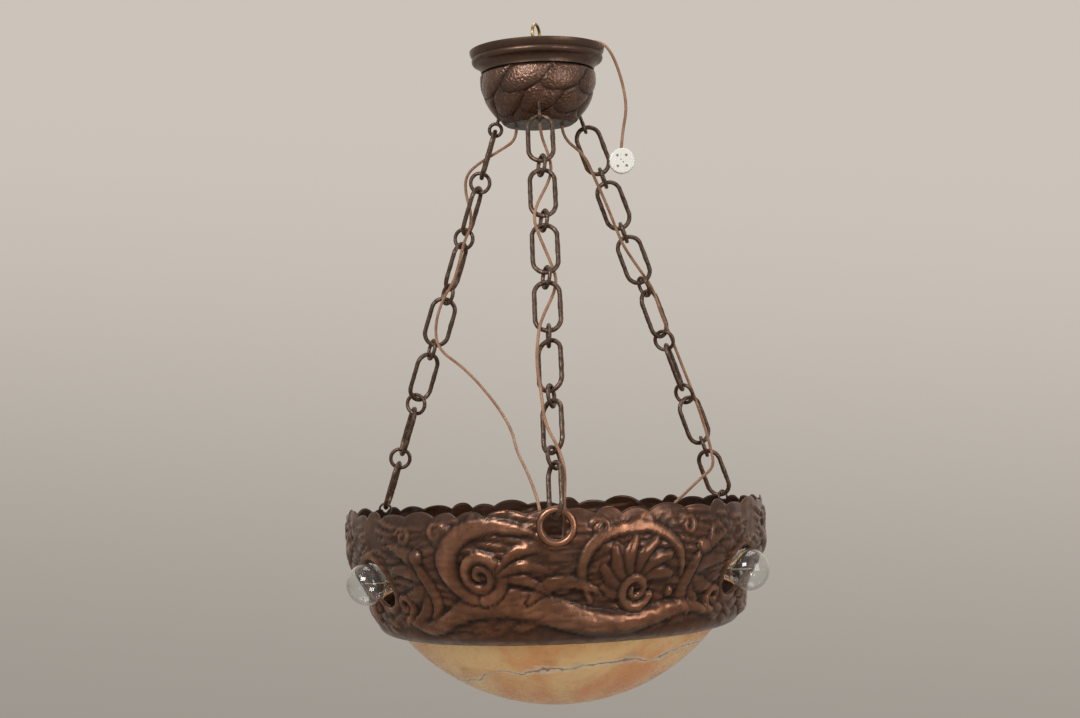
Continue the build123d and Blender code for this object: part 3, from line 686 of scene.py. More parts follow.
def spiral(centre: tuple[float, float], start_r: float, end_r: float, start: float, turns: float,
           steps: int = 14) -> tuple[tuple[float, float], ...]:
    """Gives a scroll's line that winds in.

    Args:
        centre: The scroll's middle.
        start_r: The first radius.
        end_r: The last radius.
        start: The first angle in degrees; 0 lies along the rim and 90 down the wall.
        turns: How far it winds; negative winds the other way.
        steps: How many points it has.
    Returns:
        The line's points.
    """
    spots = []
    for k in range(steps):
        share = k / (steps - 1)
        angle = math.radians(start + 360 * turns * share)
        r = start_r + (end_r - start_r) * share
        spots.append((centre[0] + r * math.cos(angle), centre[1] + r * math.sin(angle)))
    return tuple(spots)


@dataclass
class ScrollDesign:
    """A traditional scroll design that fills a third of the wall and is repeated three times round it."""

    third: float = 477.5
    seed: int = 7

    def clouds(self) -> list[Stroke]:
        """Makes the small waving streaks between the large forms."""
        chance = np.random.default_rng(self.seed)
        strokes = []
        row, last_row = 8.0, 126
        while row < last_row:
            u = -0.5 * self.third + chance.uniform(0, 30)
            while u < 0.5 * self.third - 12:
                length = chance.uniform(22, 46)
                half = chance.uniform(2.4, 4.3)
                shares = (0, 0.33, 0.66, 1)
                lift = [6.0 * math.sin((u + k * length) / 31 + row / 23) + chance.uniform(-1.6, 1.6) for k in shares]
                line = tuple((u + length * k, row + rise) for k, rise in zip(shares, lift))
                strokes.append(Stroke(line, (0.9, half, half * 0.9, 0.8), chance.uniform(1.5, 2.5), 0.7, 0.5))
                u += length + chance.uniform(-6, 5)
            row += chance.uniform(6.4, 7.8)
        return strokes

    def forms(self) -> list[Stroke]:
        """Makes the large forms, from the back to the front."""
        # curls under the top edge
        curls = (((-172, 22), 1), ((-128, 18), -1), ((142, 20), 1), ((182, 30), -1), ((44, 18), 1))
        strokes = [Stroke(spiral(centre, 10, 2.5, 200 if way > 0 else -20, 1.25 * way), (2.2, 3.2, 3.0, 2.4), 3.2)
                   for centre, way in curls]
        # leaves towards each bulb, with a stem across their roots
        for side in (-1, 1):
            for k, (du, dv, bend) in enumerate(((46, -30, -9), (52, -9, -5), (52, 14, 5), (44, 34, 10))):
                root = (side * 152, 70 + 6 * (k - 1.5))
                tip = (side * (152 + du), root[1] + dv)
                middle = ((root[0] + tip[0]) / 2, (root[1] + tip[1]) / 2 + bend)
                strokes.append(Stroke((root, middle, tip), (3.5, 8.5, 6.0, 1.2), 3.6))
            stem = tuple((side * u, v) for u, v in ((160, 44), (150, 66), (146, 92), (158, 112)))
            strokes.append(Stroke(stem, (3, 7, 8, 3), 4.4))
        # ribbed shell on the right, its seven ribs fanning from one root with a slight bend
        root, ribs, bend = (86, 80), 7, math.radians(20)
        for k in range(ribs):
            angle = math.radians(-178 + 27 * k)
            far = 50 - 1.2 * (k - 3) ** 2
            middle = (root[0] + 0.55 * far * math.cos(angle - bend), root[1] + 0.55 * far * math.sin(angle - bend))
            tip = (root[0] + far * math.cos(angle), root[1] + far * math.sin(angle))
            strokes.append(Stroke((root, middle, tip), (3.0, 5.2, 7.2, 4.0), 4.2, 1.1, 0.15))
        strokes += [
            # outer band of the shell
            Stroke(((34, 92), (24, 62), (36, 34), (66, 20), (104, 22), (130, 44), (138, 70)),
                   (3, 5, 6, 6, 6, 5, 2.5), 4.8),
            # low running stem with a swelling
            Stroke(((-196, 110), (-160, 118), (-118, 102), (-66, 92), (-10, 101), (44, 116), (96, 114), (150, 104),
                    (196, 112)), (3, 8, 11, 15, 16, 14, 11, 8, 4), 6.6),
            # leaf over the stem
            Stroke(((-34, 92), (-12, 76), (20, 74), (46, 86)), (4, 8, 7, 2), 4.6),
            # large scroll on the left, rising to the ring, and its spiral
            Stroke(((-26, 20), (-46, 16), (-76, 13), (-104, 24), (-118, 50), (-108, 78), (-84, 90)),
                   (3, 6, 9, 11.5, 12.5, 10, 6), 7.0),
            Stroke(spiral((-82, 64), 25, 4, 90, -1.9, 22), (7, 7, 6, 5, 4, 3), 6.0),
        ]
        # leaves that spring from the scroll towards the ring
        for k, (du, dv) in enumerate(((44, -22), (56, -2), (54, 18))):
            line = ((-62, 58 + 5 * k), (-62 + 0.5 * du, 50 + 5 * k + 0.5 * dv), (-62 + du, 60 + 4 * k + dv))
            strokes.append(Stroke(line, (3.0, 7.0, 1.4), 4.4))
        # the shell's scroll
        strokes.append(Stroke(spiral((84, 84), 19, 4, 20, 1.5, 18), (5.5, 5.5, 4.8, 4, 3.2), 5.6))
        # small scrolls at the ends of the stem
        for centre, way in (((-200, 96), -1), ((202, 98), 1)):
            strokes.append(Stroke(spiral(centre, 14, 3, 90, 1.2 * way), (4, 4.5, 3.6, 2.6), 4.6))
        # bosses
        strokes += [Stroke((centre,), (r,), 4.6, 1.2, 0.2)
                    for centre, r in (((-156, 44), 8.5), ((162, 42), 8.5), ((128, 88), 5.5))]
        return strokes

    def field(self, u: np.ndarray, v: np.ndarray) -> np.ndarray:
        """Gives the relief's height in mm over a grid that covers one third."""
        height = np.zeros(u.shape)
        edge = 0.5 * self.third + 20  # past it a form no longer reaches into this third
        for stroke in self.clouds() + self.forms():
            span = [p[0] for p in stroke.line]
            for shift in (-self.third, 0.0, self.third):
                if min(span) + shift > edge or max(span) + shift < -edge:
                    continue
                moved = Stroke(tuple((p[0] + shift, p[1]) for p in stroke.line), stroke.widths, stroke.height,
                               stroke.groove, stroke.keep)
                moved.beat(u, v, height)
        return height


@dataclass(frozen=True)
class Hole:
    """A round hole through a wall: its azimuth in degrees, its centre's depth and its radius in mm."""

    azimuth: float
    depth: float
    radius: float


def soften(values: np.ndarray, rounds: int) -> np.ndarray:
    """Blurs a grid that closes on itself along its first axis."""
    out = values.copy()
    for _ in range(rounds):
        out = (np.roll(out, 1, 0) + 2 * out + np.roll(out, -1, 0)) / 4
        padded = np.pad(out, ((0, 0), (1, 1)), mode="edge")
        out = (padded[:, :-2] + 2 * out + padded[:, 2:]) / 4
    return out


@dataclass
class TurnedShell:
    """A closed sheet-metal shell: an outer and an inner grid round the lamp's axis, joined at all edges."""

    name: str
    outer_r: np.ndarray
    outer_z: np.ndarray
    inner_r: np.ndarray
    inner_z: np.ndarray
    azimuths: np.ndarray
    zero_z: float
    holes: tuple[Hole, ...] = ()
    floor_holes: tuple[tuple[float, float, float], ...] = ()
    close_bottom: bool = False
    values: dict[str, np.ndarray] = field(default_factory=dict)
    #: : what each value is all over the inner grid; its darkening there is painted shade
    inside_values: dict[str, float] = field(default_factory=lambda: {"shade_and_patina": 0.8})

    @staticmethod
    def face_means(values: np.ndarray) -> np.ndarray:
        """Gives each face's mean of its four corners' values."""
        pairs = values + np.roll(values, -1, 0)
        return (pairs[:, :-1] + pairs[:, 1:]) / 4

    def cut(self, r: np.ndarray, z: np.ndarray) -> tuple[np.ndarray, np.ndarray, np.ndarray, np.ndarray]:
        """Finds the faces that holes remove and moves the points round them onto the holes' edges.

        Args:
            r: Radii of the outer grid, in mm.
            z: Heights of the outer grid, in mm.
        Returns:
            Which faces go, each point's azimuth in degrees, and its change in radius and height.
        """
        count, rows = r.shape
        angle = np.repeat(self.azimuths[:, None], rows, 1)
        gone = np.zeros((count, rows - 1), bool)
        new_angle, dr, dz = angle.copy(), np.zeros(r.shape), np.zeros(r.shape)
        for hole in self.holes:
            turn = turn_from(angle, hole.azimuth)
            across = r * np.sin(np.radians(turn))
            down = (self.zero_z - z) - hole.depth
            across = np.where(np.abs(turn) < 60, across, 1e6)
            middle_d = (down[:, :-1] + down[:, 1:]) / 2
            inside = np.hypot(self.face_means(across), middle_d) < hole.radius
            gone |= inside
            touched = self.touch(inside)
            reach = np.maximum(np.hypot(across, down), 1e-6)
            new_a, new_d = across * hole.radius / reach, down * hole.radius / reach
            new_turn = np.degrees(np.arcsin(np.clip(new_a / r, -1, 1)))
            new_angle = np.where(touched, hole.azimuth + new_turn, new_angle)
            dz = np.where(touched, down - new_d, dz)
        for x, y, radius in self.floor_holes:
            px, py = r * np.sin(np.radians(angle)), -r * np.cos(np.radians(angle))
            level = z < z.min() + 2.5
            inside = (np.hypot(self.face_means(px) - x, self.face_means(py) - y) < radius) & level[:, :-1]
            gone |= inside
            touched = self.touch(inside)
            reach = np.maximum(np.hypot(px - x, py - y), 1e-6)
            qx, qy = x + (px - x) * radius / reach, y + (py - y) * radius / reach
            new_angle = np.where(touched, np.degrees(np.arctan2(qx, -qy)), new_angle)
            dr = np.where(touched, np.hypot(qx, qy) - r, dr)
        return gone, new_angle, dr, dz

    @staticmethod
    def touch(inside: np.ndarray) -> np.ndarray:
        """Gives the points on the border between removed and kept faces."""
        count, rows = inside.shape[0], inside.shape[1] + 1
        around = np.zeros((4, count, rows), bool)
        for k, (a, b) in enumerate(((0, 0), (1, 0), (0, 1), (1, 1))):
            around[k, :, b : rows - 1 + b] = np.roll(inside, a, 0)
        return around.any(0) & ~around.all(0)

    def build(self) -> Piece:
        """Makes the shell's mesh."""
        count, rows = self.outer_r.shape
        gone, angle, dr, dz = self.cut(self.outer_r, self.outer_z)
        points = []
        for r, z in ((self.outer_r, self.outer_z), (self.inner_r, self.inner_z)):
            a = np.radians(angle)
            points.append(np.stack([(r + dr) * np.sin(a), -(r + dr) * np.cos(a), z + dz], -1).reshape(-1, 3))
        cloud = np.concatenate(points) * MM
        inner = count * rows
        number = lambda i, j: (i % count) * rows + j
        faces: list[tuple[int, ...]] = []
        for i in range(count):
            for j in range(rows - 1):
                a, b, c, d = number(i, j), number(i + 1, j), number(i + 1, j + 1), number(i, j + 1)
                if gone[i, j]:
                    sides = (((a, b), (i, j - 1)), ((b, c), (i + 1, j)), ((c, d), (i, j + 1)), ((d, a), (i - 1, j)))
                    for (p, q), (ni, nj) in sides:
                        if 0 <= nj < rows - 1 and not gone[ni % count, nj]:
                            faces.append((p, q, inner + q, inner + p))
                    continue
                faces.append((d, c, b, a))
                faces.append((inner + a, inner + b, inner + c, inner + d))
            faces.append((number(i, 0), number(i + 1, 0), inner + number(i + 1, 0), inner + number(i, 0)))
            if not self.close_bottom:
                p, q = number(i, rows - 1), number(i + 1, rows - 1)
                faces.append((inner + p, inner + q, q, p))
        if self.close_bottom:
            for base, way in ((0, -1), (inner, 1)):
                middle = cloud[[base + number(i, rows - 1) for i in range(count)]].mean(0)
                cloud = np.vstack([cloud, middle])
                for i in range(count):
                    edge = (base + number(i, rows - 1), base + number(i + 1, rows - 1))
                    faces.append((*edge[::way], len(cloud) - 1))
        used = np.zeros(len(cloud), bool)
        for face in faces:
            used[list(face)] = True
        new_number = np.cumsum(used) - 1
        piece = mesh_piece(self.name, cloud[used], [tuple(int(new_number[k]) for k in face) for face in faces])
        for key, value in self.values.items():
            both = np.concatenate([value.reshape(-1), np.full(inner, self.inside_values.get(key, 0.0))])
            both = np.concatenate([both, np.zeros(len(cloud) - len(both))])
            point_values(piece, key, both[used])
        face_outward(piece)
        return piece


# ---------------------------------------------------------------- embossed drum
@dataclass
class EmbossedDrum:
    """The copper drum: a beaten wall with a ragged top edge, bulb holes and the ring that the front chain holds."""

    sheet: float = 1.6
    lobe_count: int = 42
    lobe_rise: float = 5.0
    columns: int = 720
    rows: int = 66
    set_back: float = 2.6
    widest: float = 234.4
    scroll_mean_r: float = 17.0
    scroll_tube_r: float = 4.0
    scroll_depth: float = 15.0
    rim_r: float = 233.0
    #: radius at which the wall is unrolled for the relief
    unrolled_r: float = 228.0
    start_depth: float = -5.0
    foot_depth: float = 138.0
    profile: tuple[tuple[float, float], ...] = (
        (-5.0, 233.0), (22.0, 234.5), (50.0, 231.5), (80.0, 216.5), (100.0, 208.0), (116.0, 206.0), (129.0, 198.0),
        (138.0, 174.592))
    #: the bulbs' holes, the side chains' and the one inside the ring
    holes: tuple[Hole, ...] = (
        Hole(-60.0, 72.0, 25.0), Hole(60.0, 72.0, 25.0), Hole(180.0, 72.0, 25.0), Hole(-120.0, 8.71, 3.6),
        Hole(120.0, 8.71, 3.6), Hole(0.0, 15.0, 14.0))
    support_azimuths: tuple[float, ...] = (-30.0, 90.0, 210.0)
    support_depth: float = 24.0

    def top_edge(self, azimuths: np.ndarray) -> np.ndarray:
        """Gives how far the top edge lies below the rim plane, in mm, at each azimuth."""
        n = self.lobe_count
        notch = lambda i: (i + 0.18 * math.sin(1.7 * i)) * 360 / n
        depth = lambda i: 1.5 + 2.5 * abs(math.sin(2.3 * i))
        spots, values = [], []
        for i in range(n + 1):
            k = i % n
            start = notch(k) if i < n else 360.0
            follow = notch(i + 1) if i < n - 1 else 360.0 + (notch(1) if i == n else 0.0)
            spots += [start, (start + follow) / 2]
            values += [depth(k), -self.lobe_rise * (0.55 + 0.45 * math.sin(2.9 * k))]
        a = np.mod(azimuths, 360.0)
        k = np.clip(np.searchsorted(spots, a, side="right") - 1, 0, len(spots) - 2)
        low, high = np.asarray(spots)[k], np.asarray(spots)[k + 1]
        share = (a - low) / (high - low)
        first, second = np.asarray(values)[k], np.asarray(values)[k + 1]
        rise = np.where(first > second, np.sin(0.5 * math.pi * share**0.8),
                        1 - np.sin(0.5 * math.pi * (1 - share) ** 0.8))
        edge = first + (second - first) * rise
        across_from = lambda azimuth: np.abs(turn_from(azimuths, azimuth)) * math.radians(1) * self.rim_r
        edge = np.where(across_from(0.0) < self.scroll_mean_r, np.minimum(edge, -2.2), edge)
        # a round dip over each side chain's hole
        dip_r, dip_centre, no_dip = 9, -6.9, -99
        for hole in self.holes:
            if hole.radius < 5:
                across = across_from(hole.azimuth)
                arc = dip_centre + np.sqrt(np.clip(dip_r**2 - across**2, 0, None))
                edge = np.maximum(edge, np.where(across < dip_r, arc, no_dip))
        return edge

    def wall_curve(self) -> Callable[[np.ndarray], np.ndarray]:
        """Gives the wall's radius in mm at a depth, from one curve through the profile's points."""
        knots = np.array(self.profile)
        run = np.concatenate([[0], np.cumsum(np.hypot(*np.diff(knots, axis=0).T))])
        fine = np.linspace(0, run[-1], 1200)
        depths, radii = spline_through(run, knots[:, 0])(fine), spline_through(run, knots[:, 1])(fine)
        return lambda depth: np.interp(depth, depths, radii)

    def build(self) -> list[Piece]:
        """Makes the wall and its ring.

        Returns:
            The wall and the ring.
        """
        radius_at = self.wall_curve()
        fine = np.linspace(self.start_depth, self.foot_depth, 600)
        arc = np.concatenate([[0], np.cumsum(np.hypot(np.diff(fine), np.diff(radius_at(fine))))])
        share = np.interp(np.linspace(0, arc[-1], self.rows), arc,
                          (fine - self.start_depth) / (self.foot_depth - self.start_depth))
        azimuths = np.arange(self.columns) * 360 / self.columns
        top = self.top_edge(azimuths)
        depth = top[:, None] + (self.foot_depth - top[:, None]) * share[None, :]
        third = self.columns // 3
        signed = (azimuths[:third] + 60) % 120 - 60
        u = np.repeat((np.radians(signed) * self.unrolled_r)[:, None], self.rows, 1)
        level = np.linspace(0, self.foot_depth, self.rows)[None, :] * np.ones_like(u)
        one = ScrollDesign().field(u, level)
        grid = np.concatenate([one, one, one])
        relief = np.empty_like(depth)
        for i in range(self.columns):
            relief[i] = np.interp(depth[i], level[0], grid[i])
        turn = np.repeat(azimuths[:, None], self.rows, 1)
        round_mm = lambda a: np.radians(turn_from(turn, a)) * self.unrolled_r
        # smooth collars at the holes, flat seats for the supports' feet, and a plain foot
        for hole in self.holes:
            apart = np.hypot(round_mm(hole.azimuth), depth - hole.depth) - hole.radius
            if hole.radius > 20:
                collar = 3.4 * np.exp(-((apart - 4.5) / 3.2) ** 2)
                blend = np.clip((apart - 2) / 9, 0, 1)
                relief = relief * blend**0.7 + collar
            elif hole.radius < 10:
                blend = np.clip((apart - 1) / 6, 0, 1)
                relief = relief * blend + self.set_back * 0.5 * (1 - blend)
        for azimuth in self.support_azimuths:
            apart = np.hypot(round_mm(azimuth), depth - self.support_depth)
            seat = np.clip((16 - apart) / 5, 0, 1)
            relief = np.maximum(relief, self.set_back * seat)
        fade = np.clip((132 - depth) / 10, 0, 1)
        relief = np.clip(relief, -1.6, 7.5) * fade + self.set_back * (1 - fade)
        wobble = 1.1 * np.sin(np.radians(turn) * 17 + 0.6) + 0.9 * np.sin(np.radians(turn) * 29)
        curl = wobble * np.exp(-np.clip(depth + 4, 0, None) / 9)
        body = radius_at(depth) - self.set_back + relief + np.where(curl < 0, curl, curl * 0.3)
        outer = np.minimum(body, self.widest)
        lean = np.arctan(np.clip(radius_at(depth - 0.5) - radius_at(depth + 0.5), 0, None))
        inner = np.minimum(soften(outer, 1), outer) - self.sheet * np.cos(lean)
        inner_z = PLACES.rim_z / MM - depth + self.sheet * np.sin(lean)
        blurred = soften(relief, 7)
        # darker in the relief's recesses: patina
        shade_and_patina = np.clip((blurred - relief) / 1.5, 0, 1) ** 0.8
        # darker towards the foot, where the wall turns under: painted shade
        shade_and_patina = np.clip(shade_and_patina + 0.5 * np.clip((depth - 128) / 8, 0, 1), 0, 1)
        # lighter on the high forms: a painted highlight
        rise = np.clip((relief - blurred) / 2.6, 0, 1) * 0.75 + np.clip((relief - 4.2) / 3.5, 0, 1) * 0.5
        shell = TurnedShell("drum_wall", outer, PLACES.rim_z / MM - depth, inner, inner_z, azimuths,
                            PLACES.rim_z / MM, self.holes, values={"rise": np.clip(rise, 0, 1), "shade_and_patina": shade_and_patina})
        return [shell.build(), self.ring()]

    def ring(self) -> Piece:
        """Makes the rounded ring in the wall."""
        deselect()
        middle = on_azimuth(0, PLACES.wall_r, PLACES.rim_z - self.scroll_depth * MM)
        bpy.ops.mesh.primitive_torus_add(major_segments=72, minor_segments=20, major_radius=self.scroll_mean_r * MM,
                                         minor_radius=self.scroll_tube_r * MM, location=middle,
                                         rotation=(math.radians(90), 0, 0))
        ring = bpy.context.active_object
        ring.name = "drum_scroll_ring"
        settle(ring)
        bpy.ops.object.shade_smooth()
        points = np.array([v.co for v in ring.data.vertices])
        # lighter on the ring's front and back faces: a painted highlight; darker at its sides, where it meets the wall
        spread = np.abs(points[:, 1] - middle.y) / (self.scroll_tube_r * MM)
        point_values(ring, "rise", np.clip(spread - 0.55, 0, 1) * 1.2)
        point_values(ring, "shade_and_patina", np.clip(0.35 - spread, 0, 1) * 1.2)
        return ring

    def dress(self, pieces: list[Piece], finishes: Finishes) -> None:
        """Gives the drum its finish and puts it in the CAD drum's place."""
        for piece in pieces:
            dress(piece, finishes.drum)
            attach(piece, "pendant")
        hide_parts("drum")


# ---------------------------------------------------------------- canopy
@dataclass
class LeafCup:
    """The canopy's cup, beaten into three rows of round leaves that lie over one another."""

    columns: int = 384
    sheet: float = 1.4
    leaf_count: int = 8
    top_depth: float = 25.0
    floor_depth: float = 85.0
    flange_r: float = 52.0
    flex_hole_r: float = 3.2
    #: the side's radius at each depth
    side: tuple[tuple[float, float], ...] = (
        (25.0, 62.3), (33.0, 63.0), (41.0, 63.0), (56.0, 58.8), (70.0, 50.5), (80.0, 42.6), (85.0, 38.0))
    #: each row of leaves: first depth, tip depth, shift in leaves, layer height, crown
    leaf_rows: tuple[tuple[float, float, float, float, float], ...] = (
        (64.0, 93.0, 0.35, 0.0, 2.3), (44.0, 78.0, 0.9, 0.4, 2.6), (18.0, 56.0, 0.5, 0.8, 2.8))
    lean: float = 0.62
    flex_holes: tuple[tuple[float, float], ...] = ((0.0, 28.0), (-110.0, 28.0), (115.0, 28.0))

    def leaves(self, azimuth: np.ndarray, depth: np.ndarray) -> np.ndarray:
        """Gives the relief of the leaves in mm over the cup's side.

        Args:
            azimuth: Azimuths in degrees.
            depth: Depths below the canopy's rim plane in mm.
        Returns:
            The height of the relief.
        """
        height = np.full(azimuth.shape, -0.4)
        step = 360 / self.leaf_count
        for first, tip, shift, layer, crown in self.leaf_rows:
            down = np.clip((depth - first) / (tip - first), 0, 2)
            # the leaves lie slanting, so the groove between two of them runs aslant too
            share = np.mod(azimuth / step + self.lean * down - shift, 1.0)
            x = 2 * share - 1
            reach = down + 0.22 * np.abs(x) ** 2.4
            form = layer + crown * np.clip(1 - np.abs(x) ** 3, 0, 1) ** 0.5 * np.clip(1 - reach**4, 0, 1) ** 0.5
            form += 0.5 * (share - 0.5)
            inside = (reach < 1) & (depth > first)
            ditch = 1.2 * np.exp(-(((reach - 1) / 0.08) ** 2)) * (depth > first + 3)
            height = np.where(inside, np.maximum(form, layer - 0.6), height - ditch)
        return height

    def build(self) -> Piece:
        """Makes the cup with its flange, side and floor."""
        depths, radii = zip(*self.side)
        radius_at = spline_through(depths, radii)
        flange_rows, side_rows, floor_rows = 3, 58, 26
        floor_row = flange_rows + side_rows  # the floor's first
        side_depth = np.linspace(self.top_depth, self.floor_depth, side_rows)
        r = np.concatenate([[self.flange_r, 57.0, 61.6], radius_at(side_depth), np.linspace(36.5, 1.2, floor_rows)])
        side_depth[0] += 0.4  # the side's first row lies a little under the flange
        d = np.concatenate([np.full(flange_rows, self.top_depth), side_depth, np.full(floor_rows, self.floor_depth)])
        azimuths = np.arange(self.columns) * 360 / self.columns
        az = np.repeat(azimuths[:, None], len(r), 1)
        dd = np.repeat(d[None, :], self.columns, 0)
        rr = np.repeat(r[None, :], self.columns, 0)
        rows = np.concatenate([np.zeros(flange_rows), np.ones(side_rows), np.zeros(floor_rows)])
        on_side = np.repeat(rows[None, :], self.columns, 0)
        fade = np.clip((dd - 25.4) / 3, 0, 1) * np.clip((85.2 - dd) / 5, 0, 1) * on_side
        relief = self.leaves(az, dd) * fade
        slope_r = np.gradient(r)
        slope_d = np.gradient(d)
        length = np.hypot(slope_r, slope_d) + 1e-9
        out_r, out_d = slope_d / length, -slope_r / length
        out_r[:flange_rows], out_d[:flange_rows] = 0.0, 0.0
        outer_r = rr - 0.9 * on_side * fade + relief * out_r[None, :]
        outer_d = dd + relief * np.clip(out_d, 0, 1)[None, :] * on_side
        outer_d[:, floor_row:] = self.floor_depth
        outer_d = np.minimum(outer_d, self.floor_depth)
        inner_r = np.maximum(outer_r - self.sheet * np.maximum(out_r, 0.0)[None, :], 0.6)
        inner_r[:, :flange_rows] = outer_r[:, :flange_rows]
        inner_r[:, flange_rows - 1] = 60.6
        inner_d = outer_d - self.sheet * np.clip(out_d, 0, 1)[None, :]
        inner_d[:, :flange_rows] = outer_d[:, :flange_rows] + self.sheet
        inner_d[:, flange_rows] = np.maximum(inner_d[:, flange_rows], self.top_depth + self.sheet)
        inner_d[:, floor_row:] = self.floor_depth - self.sheet
        blurred = soften(relief, 6)
        shade_and_patina = np.clip((blurred - relief) / 0.5, 0, 1)
        # the floor, under the canopy, is darker all over: painted shade
        shade_and_patina[:, floor_row:] = 0.8
        # lighter on the leaves' crowns: a painted highlight
        rise = np.clip((relief - 2.0) / 2.0, 0, 1) * 0.8
        spots = tuple((radius * math.sin(math.radians(a)), -radius * math.cos(math.radians(a)), self.flex_hole_r)
                      for a, radius in self.flex_holes)
        zero = PLACES.canopy_z / MM
        shell = TurnedShell("canopy_leaf_cup", outer_r, zero - outer_d, inner_r, zero - inner_d, azimuths, zero,
                            floor_holes=spots, close_bottom=True, values={"rise": rise, "shade_and_patina": shade_and_patina})
        return shell.build()


@dataclass
class Canopy:
    """The canopy: spun rim, leaf cup, bridge, screws and the suspension fittings."""

    cup: LeafCup = field(default_factory=LeafCup)

    def build(self, finishes: Finishes) -> None:
        """Builds and dresses the canopy."""
        piece = self.cup.build()
        dress(piece, finishes.cup)
        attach(piece, "pendant")
        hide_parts("canopy_cup")
        dress_node("canopy_rim", finishes.spun)
        dress_node("canopy_bridge", finishes.iron)
        for node in ("suspension_ring", "suspension_eye", "eye_nut", "bridge_screws"):
            dress_node(node, finishes.brass)


# ---------------------------------------------------------------- chains
class Chain(Enum):
    """The three chains, each with its azimuth and the length of its links."""

    FRONT = ("front", 0.0, 51.4)
    LEFT = ("left", -120.0, 50.1)
    RIGHT = ("right", 120.0, 50.1)

    @property
    def label(self) -> str:
        """The chain's word in the CAD nodes' names."""
        return self.value[0]

    @property
    def azimuth(self) -> float:
        """The azimuth of the chain's hook."""
        return self.value[1]

    @property
    def link_length(self) -> float:
        """The inner length of the chain's long links in mm."""
        return self.value[2]


@dataclass
class ChainLine:
    """The straight line of a taut chain and the planes of its links and rings."""

    chain: Chain

    def way(self) -> tuple[Vector, Vector]:
        """Gives the hook's centre and the chain's direction."""
        start = on_azimuth(self.chain.azimuth, PLACES.hook_r, PLACES.hook_z)
        low = PLACES.scroll_top_z if self.chain is Chain.FRONT else PLACES.side_hang_z
        return start, (on_azimuth(self.chain.azimuth, PLACES.wall_r, low) - start).normalized()

    def plane(self, along_mm: float, turn: float) -> Matrix:
        """Gives the place whose X runs down the chain and whose Y is turned about it.

        Args:
            along_mm: Distance from the hook's centre.
            turn: Turn about the chain in degrees; 0 lies along the rim.
        Returns:
            The place as a matrix.
        """
        start, down = self.way()
        side = on_azimuth(self.chain.azimuth + 90, 1, 0)
        side.rotate(Matrix.Rotation(math.radians(turn), 3, down))
        side = (side - down * side.dot(down)).normalized()
        place = Matrix((down, side, down.cross(side))).transposed().to_4x4()
        place.translation = start + down * along_mm * MM
        return place


